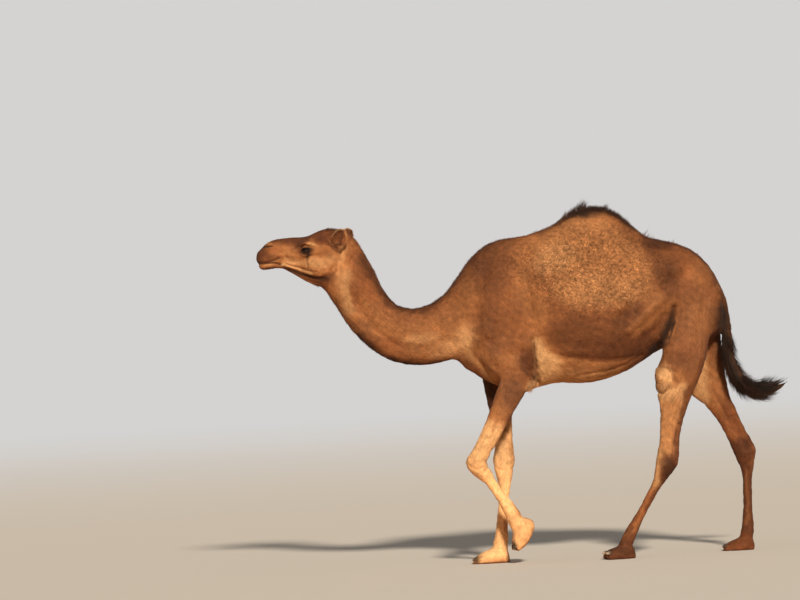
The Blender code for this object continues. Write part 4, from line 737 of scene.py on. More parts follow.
def weigh(obj, name, weights):
    """A vertex group with these weights, rounded to steps of a twentieth."""
    group = obj.vertex_groups.new(name=name)
    steps = np.round(np.clip(weights, 0, 1) * 20).astype(int)
    for step in range(1, 21):
        group.add(np.flatnonzero(steps == step).tolist(), step / 20, "REPLACE")
    return name


def fleshed(name, nodes):
    """A merged copy of some flesh nodes, swollen just enough to close the cuts between them."""
    copies = []
    for node in nodes:
        copy = bpy.data.objects.new(f"{name}_{node}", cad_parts[node].data.copy())
        bpy.context.scene.collection.objects.link(copy)
        in_edit_mode(copy)
        bpy.ops.mesh.remove_doubles(threshold=0.00001)
        bpy.ops.object.mode_set(mode="OBJECT")
        set_places(copy.data, places_of(copy.data) + normals_of(copy.data) * JOINT_SWELL)
        copies.append(copy)
    select_only(*copies)
    bpy.ops.object.join()
    whole = bpy.context.view_layer.objects.active
    whole.name = name
    whole.data.name = name
    whole.data.materials.clear()
    return whole


def keep_beyond(obj, point, normal, fill):
    """Cuts obj at a plane and keeps the part on the side that the normal points to."""
    in_edit_mode(obj)
    bpy.ops.mesh.bisect(plane_co=point, plane_no=normal, use_fill=fill, clear_inner=True, threshold=0.00001)
    bpy.ops.object.mode_set(mode="OBJECT")


# ---------------------------------------------------------------- skin
def depth_of_coat(places):
    """How far the skin lies inside the flesh's outline: deep on the trunk, thin on face, legs and soles."""
    sizes = bpy.context.scene.camel_skin
    face = 1 - soft(places[:, 0], -1.10, -0.92)
    leg = 1 - soft(places[:, 2], 0.72, 1.05)
    behind = soft(places[:, 0], 1.17, 1.21)
    depth = sizes.trunk_depth + (sizes.leg_depth - sizes.trunk_depth) * leg
    depth = depth + (sizes.face_depth - depth) * face
    depth = depth + (0.010 - depth) * behind * soft(places[:, 2], 0.85, 0.90)
    return depth * soft(places[:, 2], 0.004, 0.020)


def body_hide(sizes):
    """The skin of everything but the face, still coarse: fused, smoothed, set in and carved."""
    hide = fleshed("body_hide", FLESH)
    modify(hide, "REMESH", mode="VOXEL", voxel_size=sizes.body_voxel, use_smooth_shade=True)
    places = places_of(hide.data)
    at_tail = soft(places[:, 0], 1.165, 1.195) * (1 - soft(places[:, 2], 1.50, 1.60))
    broad = soft(places[:, 2], 0.85, 1.20) * (1 - at_tail)
    modify(hide, "SMOOTH", factor=0.5, iterations=7)
    modify(hide, "SMOOTH", factor=0.5, iterations=20, vertex_group=weigh(hide, "broad", broad))
    hide.vertex_groups.clear()
    places, normals = places_of(hide.data), normals_of(hide.data)
    places -= normals * depth_of_coat(places)[:, None]
    places = carved(places, normals, BODY_FORMS, least_width=0.05)
    places -= normals * toe_clefts(places, normals)[:, None]
    woolly = woolliness(places)
    rough = 0.0012 * mottle(places, 0.050, 31) + 0.0035 * woolly * mottle(places, 0.034, 32)
    places += normals * (rough * soft(places[:, 2], 0.03, 0.10))[:, None]
    places[:, 2] = np.maximum(places[:, 2] - 0.002 * (1 - soft(places[:, 2], 0.002, 0.010)), 0.0004)
    set_places(hide.data, places)
    thin_out(hide, sizes.body_triangles)
    return hide


def toe_clefts(places, normals):
    """How deep the groove between the two toes of each foot lies, over its front half."""
    depth = np.zeros(len(places))
    for foot in [name for name in FLESH if "foot" in name]:
        low, high = (np.array(corner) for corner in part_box(foot))
        ahead = unit(np.array(toe_way(foot.replace("foot", ""))))
        middle = (low + high) / 2
        half = (high - low) @ np.abs(ahead) / 2
        near = (np.abs(places - middle) < (high - low) / 2 + 0.005).all(axis=1)
        forward = ((places - middle) @ ahead) / half
        groove = np.exp(-(((places[:, 1] - middle[1]) / 0.007) ** 2)) * soft(forward, 0.0, 0.75)
        facing = soft(normals[:, 2] + normals @ ahead * 0.6, -0.1, 0.3)
        depth = np.maximum(depth, 0.012 * groove * near * facing)
    return depth


def woolliness(places):
    """1 where the coat is curled wool: the hump's sides and the upper flank."""
    return functools.reduce(np.maximum, (form.amount * reach_of(form, places) for form in WOOLLY))


def thin_out(obj, triangles):
    modify(obj, "TRIANGULATE")
    modify(obj, "DECIMATE", decimate_type="COLLAPSE", ratio=min(1.0, triangles / len(obj.data.polygons)))


Eye = namedtuple("Eye", "centre radius gaze along up")


def eye_of(side):
    """An eye's place and directions: out through the pupil, along the lids to the front, and up."""
    low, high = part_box("eye_left" if side == LEFT else "eye_right")
    gaze = unit(np.array((-0.30, side * 0.93, 0.06)))
    along = np.array((-0.96, 0.0, -0.16))
    along = unit(along - gaze * (along @ gaze))
    up = np.cross(gaze, along)
    up = up if up[2] > 0 else -up
    return Eye(np.array((low + high) / 2), (high.z - low.z) / 2 - 0.0008, gaze, along, up)


def lid_gap(a, b):
    """Signed distance from the lids' edges to points in the eye's own plane: below 0 between the lids."""
    t = np.clip(np.abs(a) / LID_HALF, 0, 1)
    upper = UPPER_LID * (1 - t**2) ** 0.75 * (1 + 0.10 * np.sign(a) * t)
    lower = -LOWER_LID * (1 - t**2) ** 0.85
    between = np.maximum(b - upper, lower - b)
    beyond = np.hypot(np.maximum(np.abs(a) - LID_HALF, 0), b)
    return np.where(np.abs(a) < LID_HALF, between, np.maximum(beyond, 0.0004))


def shape_lids(places, side):
    """Wraps the skin round an eyeball, and opens it between the lids."""
    eye = eye_of(side)
    away = places - eye.centre
    a, b, c = away @ eye.along, away @ eye.up, away @ eye.gaze
    apart = np.hypot(a, b)
    near = (apart < 0.046) & (c > -0.3 * eye.radius) & (places[:, 1] * side > 0.02)
    gap = lid_gap(a, b)
    snap = near & (np.abs(gap) < 0.0011) & (np.abs(a) < LID_HALF)
    b = np.where(snap, b - gap * np.sign(b), b)
    gap = np.where(snap, 0.0, gap)
    thickness = 0.0022 + 0.0038 * soft(gap, 0.0, 0.010) - 0.0016 * np.exp(-(((gap - 0.0105) / 0.0025) ** 2))
    over_ball = np.sqrt(np.maximum((eye.radius + thickness) ** 2 - a**2 - b**2, 0.006**2))
    behind = np.sqrt(np.maximum(eye.radius**2 - a**2 - b**2, 0.0)) - 0.005
    share = 1 - soft(apart, 0.021, 0.036)
    lid = c + (over_ball - c) * share
    c = np.where(near, np.where(gap < 0, behind, lid), c)
    moved = eye.centre + a[:, None] * eye.along + b[:, None] * eye.up + c[:, None] * eye.gaze
    return np.where(near[:, None], moved, places)


def head_hide(sizes):
    """The finer skin of the head, ears and upper neck, with the features of the face."""
    neck_end = fleshed("neck_end", ["neck"])
    keep_beyond(neck_end, GRAFT_POINT - GRAFT_NORMAL * 0.07, GRAFT_NORMAL, fill=True)
    head = fleshed("head_hide", HEAD_FLESH)
    balls = fleshed("eye_fill", ["eye_left", "eye_right"])
    select_only(head, neck_end, balls)
    bpy.ops.object.join()
    modify(head, "REMESH", mode="VOXEL", voxel_size=sizes.head_voxel, use_smooth_shade=True)
    places = places_of(head.data)
    modify(head, "SMOOTH", factor=0.5, iterations=4)
    modify(head, "SMOOTH", factor=0.5, iterations=34, vertex_group=weigh(head, "face", 1 - on_ears(places)))
    head.vertex_groups.clear()
    places, normals = places_of(head.data), normals_of(head.data)
    depth = depth_of_coat(places) * (1 - 0.75 * on_ears(places))
    places -= normals * depth[:, None]
    rounding = 0.22 * soft(places[:, 2], 1.925, 1.990) * soft(-places[:, 0], 1.38, 1.46)
    rounding += 0.20 * soft(-places[:, 0], 1.500, 1.565)
    places[:, 1] *= 1 - rounding * soft(places[:, 2], 1.850, 1.875)
    set_places(head.data, places)
    subdivide_near_eyes(head)
    places, normals = places_of(head.data), normals_of(head.data)
    places = carved(places, normals, HEAD_FORMS, least_width=0.022)
    cleft = np.exp(-((places[:, 1] / 0.0035) ** 2)) * soft(-places[:, 0], 1.515, 1.545)
    places -= normals * (0.008 * cleft * soft(places[:, 2], 1.866, 1.872))[:, None]
    places += normals * (0.0004 * mottle(places, 0.012, 33))[:, None]
    for side in (LEFT, RIGHT):
        places = shape_lids(places, side)
    set_places(head.data, places)
    thin_out(head, sizes.head_triangles)
    return head


def subdivide_near_eyes(head):
    """A finer net round each eye, for the lids."""
    select_only(head)
    bpy.ops.object.mode_set(mode="EDIT")
    bpy.ops.mesh.select_all(action="DESELECT")
    bpy.ops.object.mode_set(mode="OBJECT")
    centres = read(head.data.polygons, "center")
    chosen = np.zeros(len(centres), bool)
    for side in (LEFT, RIGHT):
        chosen |= np.linalg.norm(centres - eye_of(side).centre, axis=1) < 0.036
    head.data.polygons.foreach_set("select", chosen)
    bpy.ops.object.mode_set(mode="EDIT")
    bpy.ops.mesh.select_mode(type="FACE")
    bpy.ops.mesh.subdivide(number_cuts=1)
    bpy.ops.object.mode_set(mode="OBJECT")


def graft(body, head):
    """Joins the head's skin to the body's across a narrow ring of the neck."""
    keep_beyond(body, GRAFT_POINT - GRAFT_NORMAL * 0.004, -GRAFT_NORMAL, fill=False)
    keep_beyond(head, GRAFT_POINT + GRAFT_NORMAL * 0.004, GRAFT_NORMAL, fill=False)
    select_only(body, head)
    bpy.ops.object.join()
    bpy.ops.object.mode_set(mode="EDIT")
    bpy.ops.mesh.select_mode(type="EDGE")
    bpy.ops.mesh.select_all(action="DESELECT")
    bpy.ops.mesh.select_non_manifold(extend=False, use_wire=False, use_multi_face=False, use_verts=False)
    bpy.ops.mesh.bridge_edge_loops()
    bpy.ops.mesh.select_all(action="SELECT")
    bpy.ops.mesh.normals_make_consistent(inside=False)
    bpy.ops.object.mode_set(mode="OBJECT")
    places = places_of(body.data)
    seam = np.exp(-((beyond_graft(places) / 0.035) ** 2))
    modify(body, "SMOOTH", factor=0.5, iterations=12, vertex_group=weigh(body, "seam", seam))
    body.vertex_groups.clear()
    modify(body, "TRIANGULATE")
    return body


class CAMEL_OT_skin(bpy.types.Operator):
    """Fuses the flesh nodes into one skin, finer on the head, and carves its folds, lids and lips"""
    bl_idname = "camel.skin"
    bl_label = "Skin"

    def execute(self, context):
        sizes = settings_of(context, "skin")
        skin = graft(body_hide(sizes), head_hide(sizes))
        skin.name = "skin"
        skin.data.name = "skin"
        skin.data.shade_smooth()
        places = places_of(skin.data)
        paint(skin.data, "coat", coat_colour(places))
        store(skin.data, "wool", woolliness(places))
        skin.data.materials.append(hide_material())
        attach(skin, "root")
        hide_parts(*FLESH)
        return {"FINISHED"}


# ---------------------------------------------------------------- materials
def node_group(name, inputs, outputs):
    group = bpy.data.node_groups.new(name, "ShaderNodeTree")
    for label, kind, default in inputs:
        socket = group.interface.new_socket(name=label, in_out="INPUT", socket_type="NodeSocket" + kind)
        if default is not None:
            socket.default_value = default
    for label, kind in outputs:
        group.interface.new_socket(name=label, in_out="OUTPUT", socket_type="NodeSocket" + kind)
    return group, group.nodes.new("NodeGroupInput"), group.nodes.new("NodeGroupOutput")


def add_node(tree, kind, label="", **values):
    node = tree.nodes.new("ShaderNode" + kind)
    node.label = label
    for name, value in values.items():
        setattr(node, name, value)
    return node


def noise(tree, where, scale, detail=4.0, stretch=(1.0, 1.0, 1.0), label=""):
    """A noise value over Object coordinates, stretched along the axes."""
    mapping = add_node(tree, "Mapping", label)
    mapping.inputs["Scale"].default_value = stretch
    tree.links.new(where, mapping.inputs["Vector"])
    made = add_node(tree, "TexNoise", label)
    made.inputs["Scale"].default_value = scale
    made.inputs["Detail"].default_value = detail
    tree.links.new(mapping.outputs["Vector"], made.inputs["Vector"])
    return made.outputs["Fac"]


def math_node(tree, operation, *values):
    node = add_node(tree, "Math", operation.lower(), operation=operation)
    for socket, value in zip(node.inputs, values):
        if isinstance(value, float):
            socket.default_value = value
        else:
            tree.links.new(value, socket)
    return node.outputs[0]


def map_range(tree, value, source, target, label, **values):
    """A value stretched from one range to another."""
    node = add_node(tree, "MapRange", label, **values)
    for name, number in zip(("From Min", "From Max", "To Min", "To Max"), (*source, *target)):
        node.inputs[name].default_value = number
    tree.links.new(value, node.inputs["Value"])
    return node.outputs["Result"]


def scaled(tree, colour, tone):
    """A colour made lighter or darker by a tone."""
    node = add_node(tree, "VectorMath", "shaded", operation="SCALE")
    tree.links.new(colour, node.inputs[0])
    tree.links.new(tone, node.inputs["Scale"])
    return node.outputs[0]


def ramp(tree, value, label, *stops):
    """Colours along a value: the first and last stop, then any between them."""
    node = add_node(tree, "ValToRGB", label)
    first, last, *between = stops
    elements = node.color_ramp.elements
    for element, (position, colour) in zip(elements, (first, last)):
        element.position = position
        element.color = (*colour, 1)
    for position, colour in between:
        elements.new(position).color = (*colour, 1)
    tree.links.new(value, node.inputs[0])
    return node.outputs[0]


def raised(tree, shader, height, strength, distance):
    """Raises the surface a little by a height map."""
    bump = add_node(tree, "Bump")
    bump.inputs["Strength"].default_value = strength
    bump.inputs["Distance"].default_value = distance
    tree.links.new(height, bump.inputs["Height"])
    tree.links.new(bump.outputs["Normal"], shader.inputs["Normal"])


def object_place(tree):
    return add_node(tree, "TexCoord").outputs["Object"]


def short_hair_group():
    """Tone and height of short flat hair: fine strands, clumps of them, and curls where there is wool."""
    found = bpy.data.node_groups.get("short_hair")
    if found:
        return found
    group, given, made = node_group(
        "short_hair",
        (("Place", "Vector", None), ("Colour", "Color", (0.3, 0.13, 0.05, 1.0)), ("Wool", "Float", 0.0)),
        (("Colour", "Color"), ("Height", "Float"), ("Roughness", "Float")))
    place, wool = given.outputs["Place"], given.outputs["Wool"]
    strands = noise(group, place, 260.0, 3.0, (0.55, 1.0, 0.30), "strands")
    clumps = noise(group, place, 62.0, 3.0, (0.8, 1.0, 0.55), "clumps")
    curls = add_node(group, "TexVoronoi", "curls", feature="SMOOTH_F1")
    curls.inputs["Scale"].default_value = 78.0
    group.links.new(place, curls.inputs["Vector"])
    fine = math_node(group, "MULTIPLY_ADD", strands, 0.55, math_node(group, "MULTIPLY", clumps, 0.45))
    curled = math_node(group, "SUBTRACT", 1.0, curls.outputs["Distance"])
    height = add_node(group, "Mix", "flat or curled", data_type="FLOAT")
    group.links.new(wool, height.inputs[0])
    group.links.new(fine, height.inputs[2])
    group.links.new(curled, height.inputs[3])
    tone = map_range(group, fine, (0.30, 0.72), (0.76, 1.16), "tone")
    rough = map_range(group, fine, (0.0, 1.0), (0.88, 0.66), "roughness")
    group.links.new(scaled(group, given.outputs["Colour"], tone), made.inputs["Colour"])
    group.links.new(height.outputs[0], made.inputs["Height"])
    group.links.new(rough, made.inputs["Roughness"])
    return group


def principled(name, roughness=0.8, sheen=0.0, coat=0.0, specular=0.5):
    material = bpy.data.materials.new(name)
    material.use_nodes = True
    tree = material.node_tree
    shader = tree.nodes["Principled BSDF"]
    shader.inputs["Roughness"].default_value = roughness
    shader.inputs["Sheen Weight"].default_value = sheen
    shader.inputs["Coat Weight"].default_value = coat
    shader.inputs["Specular IOR Level"].default_value = specular
    return material, tree, shader


def attribute(tree, name, output="Fac"):
    node = add_node(tree, "Attribute", name, attribute_name=name)
    return node.outputs[output]


def hide_material():
    """The skin with its shortest hair: the painted markings, mottled, with strands raised on them."""
    material, tree, shader = principled("hide_and_short_hair", sheen=0.04, specular=0.20)
    hair = add_node(tree, "Group", "short hair", node_tree=short_hair_group())
    tree.links.new(object_place(tree), hair.inputs["Place"])
    tree.links.new(attribute(tree, "coat", "Color"), hair.inputs["Colour"])
    tree.links.new(attribute(tree, "wool"), hair.inputs["Wool"])
    raised(tree, shader, hair.outputs["Height"], 0.5, 0.004)
    tree.links.new(hair.outputs["Colour"], shader.inputs["Base Color"])
    tree.links.new(hair.outputs["Roughness"], shader.inputs["Roughness"])
    return material


def tuft_material(name, sheen, roughness):
    """Hair of the coat: the painted colour of each tuft, with fine streaks."""
    found = bpy.data.materials.get(name)
    if found:
        return found
    material, tree, shader = principled(name, roughness=roughness, sheen=sheen, specular=0.20)
    streak = noise(tree, object_place(tree), 420.0, 2.0, (0.7, 1.0, 0.5), "streaks")
    tone = map_range(tree, streak, (0.0, 1.0), (0.86, 1.14), "tone")
    tree.links.new(scaled(tree, attribute(tree, "coat", "Color"), tone), shader.inputs["Base Color"])
    return material


# ---------------------------------------------------------------- lie of the coat
# The way the hair points at places on the body: x, distance from the midline and z of the place, and then
# the way as x, outwards and z.
LIE = [
    (-1.53, 0.03, 1.92, 0.8, 0.1, 0.4), (-1.42, 0.04, 1.98, 0.95, 0, 0.15),
    (-1.35, 0.05, 1.87, 0.95, 0, -0.2), (-1.26, 0.08, 1.97, 0.85, 0.1, 0.45),
    (-1.2, 0.03, 2.04, 0.95, 0, 0.2), (-1.2, 0.08, 1.86, 0.9, 0, -0.35), (-1.1, 0.05, 1.95, 0.75, 0, -0.6),
    (-1.22, 0.04, 1.76, 0.8, 0, -0.55), (-1.07, 0.03, 2.04, 0.85, 0, -0.5),
    (-1.12, 0.05, 1.68, 0.35, 0, -0.94), (-1, 0.07, 1.85, 0.4, 0, -0.92),
    (-0.98, 0.07, 1.62, 0.42, 0, -0.9), (-0.88, 0.07, 1.48, 0.66, 0, -0.75),
    (-0.72, 0.08, 1.38, 0.95, 0, -0.3), (-0.52, 0.09, 1.38, 0.98, 0, 0.05), (-0.4, 0.1, 1.6, 0.9, 0, -0.25),
    (-0.3, 0.13, 1.4, 0.7, 0, -0.7), (-0.18, 0.15, 1.75, 0.75, 0, -0.65),
    (-0.18, 0.16, 1.45, 0.45, 0, -0.9), (0, 0.05, 1.94, 0.95, 0.1, -0.15),
    (0.05, 0.18, 1.6, 0.55, 0, -0.83), (0.1, 0.18, 1.25, 0.7, 0, -0.7), (0.3, 0.26, 1.6, 0.8, 0, -0.6),
    (0.4, 0.15, 1.98, 0.7, 0.1, -0.45), (0.45, 0.03, 2.09, 0.9, 0, 0.35), (0.3, 0.24, 1.25, 0.92, 0, -0.38),
    (0.45, 0.05, 1.06, 1, 0, 0.05), (0.62, 0.26, 1.5, 0.85, 0, -0.5), (0.65, 0.2, 1.22, 0.95, 0, 0.15),
    (0.8, 0.15, 1.85, 0.92, 0.1, -0.35), (0.85, 0.22, 1.6, 0.7, 0, -0.7),
    (1.02, 0.1, 1.78, 0.85, 0.1, -0.5), (1, 0.2, 1.45, 0.3, 0, -0.95), (1.17, 0.08, 1.55, 0.25, 0, -0.97),
    (1.1, 0.15, 1.3, -0.05, 0, -1), (-0.05, 0.1, 1.05, 0.3, -0.3, -0.85), (1.21, 0, 1.4, 0.03, 0, -1),
    (1.22, 0, 1.15, 0.15, 0, -0.98),
]

# The same on each leg, where left and right differ: (x, z) of the bones from the top to the toes.
LEG_LINES = {
    ("fore", LEFT): points(-48, 1110, -200, 830, -314, 612, -220, 460, -130, 313, -50, 200, -100, 110),
    ("fore", RIGHT): points(-165, 1110, -150, 860, -137, 615, -166, 370, -196, 122, -300, 40),
    ("hind", LEFT): points(930, 1200, 850, 1090, 832, 820, 815, 553, 690, 340, 556, 124, 450, 40),
    ("hind", RIGHT): points(990, 1200, 1036, 1078, 1170, 830, 1304, 580, 1295, 350, 1285, 122, 1170, 40),
}


def lie_anchors():
    """Every known place and direction of the coat's lie, on both sides."""
    rows = []
    for x, y, z, dx, dy, dz in LIE:
        rows += [((x, side * y, z), (dx, side * dy, dz)) for side in (LEFT, RIGHT)]
    for (_, side), leg in LEG_LINES.items():
        for (x, z), (next_x, next_z) in zip(leg, leg[1:]):
            way = unit(np.array((next_x - x, 0.0, next_z - z)))
            for t in (0.15, 0.5, 0.85):
                rows.append(((x + t * (next_x - x), side * LEG_ASIDE, z + t * (next_z - z)), tuple(way)))
    places, ways = (np.array(column, float) for column in zip(*rows))
    return places, unit(ways)


def lie_of_coat(places):
    """The direction of the hair at each place, from the known ones around it."""
    anchors, ways = lie_anchors()
    made = np.empty_like(places)
    for start in range(0, len(places), LIE_CHUNK):
        part = slice(start, start + LIE_CHUNK)
        apart = np.linalg.norm(places[part, None, :] - anchors[None], axis=2)
        nearness = 1 / (apart + 0.02) ** 4
        made[part] = nearness @ ways / nearness.sum(axis=1, keepdims=True)
    return unit(made)


# ---------------------------------------------------------------- tufts
class Pelt:
    """The finished skin as arrays, to set roots on, and its coarse unwrap, to give each root a patch."""

    def __init__(self, skin):
        mesh = skin.data
        self.places, self.normals = places_of(mesh), normals_of(mesh)
        self.triangles = triangles_of(mesh)
        corners = self.places[self.triangles]
        self.centres = corners.mean(axis=1)
        spans = np.cross(corners[:, 1] - corners[:, 0], corners[:, 2] - corners[:, 0])
        self.areas = np.linalg.norm(spans, axis=1) / 2
        self.faces_out = unit(self.normals[self.triangles].sum(axis=1))
        self.unwrap(skin)

    def unwrap(self, skin):
        """Unwraps a thinned copy of the skin, which is then removed."""
        guide = bpy.data.objects.new("unwrap_guide", skin.data.copy())
        bpy.context.scene.collection.objects.link(guide)
        thin_out(guide, 7000)
        in_edit_mode(guide)
        bpy.ops.uv.smart_project(angle_limit=1.15, island_margin=0.006, scale_to_bounds=False)
        bpy.ops.object.mode_set(mode="OBJECT")
        mesh = guide.data
        self.guide_places = places_of(mesh)
        self.guide_faces = np.array([tuple(face.vertices) for face in mesh.polygons])
        self.guide_uv = read(mesh.uv_layers.active.uv, "vector", 2).reshape(-1, 3, 2)
        self.tree = BVHTree.FromPolygons([Vector(p) for p in self.guide_places], self.guide_faces.tolist())
        bpy.data.objects.remove(guide)

    def patches(self, roots):
        """Where each root lies on the unwrap."""
        faces = np.empty(len(roots), int)
        hits = np.empty((len(roots), 3))
        for i, root in enumerate(roots):
            hit, _, face, _ = self.tree.find_nearest(Vector(root))
            faces[i] = face
            hits[i] = hit
        a, b, c = (self.guide_places[self.guide_faces[faces, k]] for k in range(3))
        across = np.cross(b - a, c - a)
        whole = np.maximum((across**2).sum(axis=1), 1e-18)
        share_b = (np.cross(hits - a, c - a) * across).sum(axis=1) / whole
        share_c = (np.cross(b - a, hits - a) * across).sum(axis=1) / whole
        shares = np.clip(np.stack([1 - share_b - share_c, share_b, share_c], axis=1), 0, 1)
        uv = (self.guide_uv[faces] * shares[:, :, None]).sum(axis=1)
        return np.clip(uv, PATCH, 1 - PATCH)

    def scatter(self, count, wanted, seed):
        """Evenly spread roots, thicker where wanted says so: their places and the skin's outward way."""
        rng = np.random.default_rng(seed)
        shares = np.clip(wanted(self.centres, self.faces_out), 0, None)
        edges = np.cumsum(self.areas * shares * not_bare(self.centres))
        picks = (np.arange(count) + rng.uniform(0, 1, count)) / count * edges[-1]
        chosen = np.minimum(np.searchsorted(edges, picks), len(edges) - 1)
        u, v = rng.uniform(0, 1, (2, count))
        root = np.sqrt(u)
        shares = np.stack([1 - root, root * (1 - v), root * v], axis=1)[:, :, None]
        corners = self.triangles[chosen]
        out = unit((self.normals[corners] * shares).sum(axis=1))
        return (self.places[corners] * shares).sum(axis=1), out


@functools.lru_cache(maxsize=1)
def pelt_of(skin_name):
    return Pelt(bpy.data.objects[skin_name])


def not_bare(places):
    """0 where no hair grows: between the lids, along nostril and mouth, and under the feet."""
    grown = soft(places[:, 2], 0.010, 0.016)
    for side in (LEFT, RIGHT):
        eye = eye_of(side)
        away = places - eye.centre
        gap = lid_gap(away @ eye.along, away @ eye.up)
        near = (np.linalg.norm(away, axis=1) < 0.05) & (away @ eye.gaze > 0)
        grown = np.where(near, grown * soft(gap, 0.002, 0.005), grown)
    for slit in (form for form in HEAD_FORMS if form.what in ("nostril", "mouth")):
        beside = soft(from_line(places, slit.points), 0.003, 0.006)
        grown = grown * np.where(places[:, 0] < -1.40, beside, 1.0)
    return grown


def combed(roots, out, rng, spread):
    """The way each tuft lies along the skin, a little astray, and the way across it."""
    lie = lie_of_coat(roots)
    along = unit(lie - out * (lie * out).sum(axis=1, keepdims=True))
    across = np.cross(along, out)
    astray = rng.normal(0, spread, len(roots)) + 0.16 * mottle(roots, 0.12, 41)
    turned = along * np.cos(astray)[:, None] + across * np.sin(astray)[:, None]
    return turned, np.cross(turned, out)


def solid_locks(name, spines, across, up, half_width, rise, colours, uv, material, turn=None):
    """One piece of many closed locks. Each spine is a root, rings of three corners, and a tip.

    With turn, the locks are lit as the skin under them is, and their sides only turn by that much.
    """
    count, stations = spines.shape[:2]
    rings = stations - 2
    middle = spines[:, 1:-1]
    corners = np.stack([middle - across * half_width[..., None], middle + up * rise[..., None],
                        middle + across * half_width[..., None]], axis=2)
    places = np.concatenate([spines[:, :1], corners.reshape(count, rings * 3, 3), spines[:, -1:]], axis=1)
    per_lock = rings * 3 + 2
    tip = per_lock - 1
    left, ridge, right = 1, 2, 3
    faces = [(0, right, ridge), (0, ridge, left), (0, left, right)]
    for a in range(1, tip - 3, 3):
        for one, other in ((1, 2), (0, 1), (2, 0)):
            faces += [(a + one, a + other, a + other + 3), (a + one, a + other + 3, a + one + 3)]
    left, ridge, right = tip - 3, tip - 2, tip - 1
    faces += [(ridge, right, tip), (left, ridge, tip), (right, left, tip)]
    faces = (np.array(faces)[None] + np.arange(count)[:, None, None] * per_lock).reshape(-1, 3)
    mesh = bpy.data.meshes.new(name)
    mesh.from_pydata(places.reshape(-1, 3), [], faces)
    station = np.concatenate([[0], np.repeat(np.arange(1, rings + 1), 3), [rings + 1]])
    lean = np.concatenate([[0.0], np.tile([-0.5, 0.0, 0.5], rings), [0.0]])
    patch = np.stack([lean, station / (rings + 1) - 0.5], axis=1) * PATCH
    corner_uv = (uv[:, None] + patch[None]).reshape(-1, 2)
    layer = mesh.uv_layers.new(name="OFBake")
    layer.uv.foreach_set("vector", corner_uv[faces.ravel()].astype(np.float32).ravel())
    paint(mesh, "coat", colours[:, station].reshape(-1, 3))
    mesh.shade_smooth()
    if turn is not None:
        facing = np.broadcast_to(up, middle.shape)
        aside = np.broadcast_to(across, middle.shape) * turn
        sides = np.stack([facing - aside, facing, facing + aside], axis=2).reshape(count, rings * 3, 3)
        lit = unit(np.concatenate([facing[:, :1], sides, facing[:, -1:]], axis=1).reshape(-1, 3))
        mesh.normals_split_custom_set_from_vertices(lit.tolist())
    mesh.materials.append(material)
    obj = bpy.data.objects.new(name, mesh)
    bpy.context.scene.collection.objects.link(obj)
    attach(obj, "root")
    return obj


def toned(colours, tones, stations, root_shade=0.92, tip_shade=1.06):
    """Colours along each lock, darker at the root and lighter at the tip."""
    shade = root_shade + (tip_shade - root_shade) * np.linspace(0, 1, stations) ** 0.7
    return np.clip(colours[:, None] * tones[:, None, None] * shade[None, :, None], 0, 1)


def short_coat(pelt, name, count, wanted, length, width, lift, seed, spread=0.16):
    """Flat lying tufts: each is a closed leaf that rises from its root and lies down at its tip."""
    rng = np.random.default_rng(seed)
    roots, out = pelt.scatter(count, wanted, seed)
    along, across = combed(roots, out, rng, spread)
    long = length(roots) * rng.uniform(0.75, 1.30, count)
    wide = width(roots) * rng.uniform(0.75, 1.30, count)
    high = long * lift * rng.uniform(0.6, 1.4, count)
    start = roots - out * 0.0010
    ring = roots + along * (long * 0.42)[:, None] + out * (high * 0.75)[:, None]
    tip = roots + along * long[:, None] + out * (high * rng.uniform(0.5, 1.3, count))[:, None]
    spines = np.stack([start, ring, tip], axis=1)
    tones = 1 + rng.normal(0, bpy.context.scene.camel_coat.tone_spread, count).clip(-0.5, 0.6)
    colours = toned(coat_colour(roots), tones, 3)
    material = tuft_material("coat_hair", 0.05, 0.80)
    return solid_locks(name, spines, across[:, None], out[:, None], wide[:, None] / 2, wide[:, None] * 0.15,
                       colours, pelt.patches(roots), material, turn=0.30)


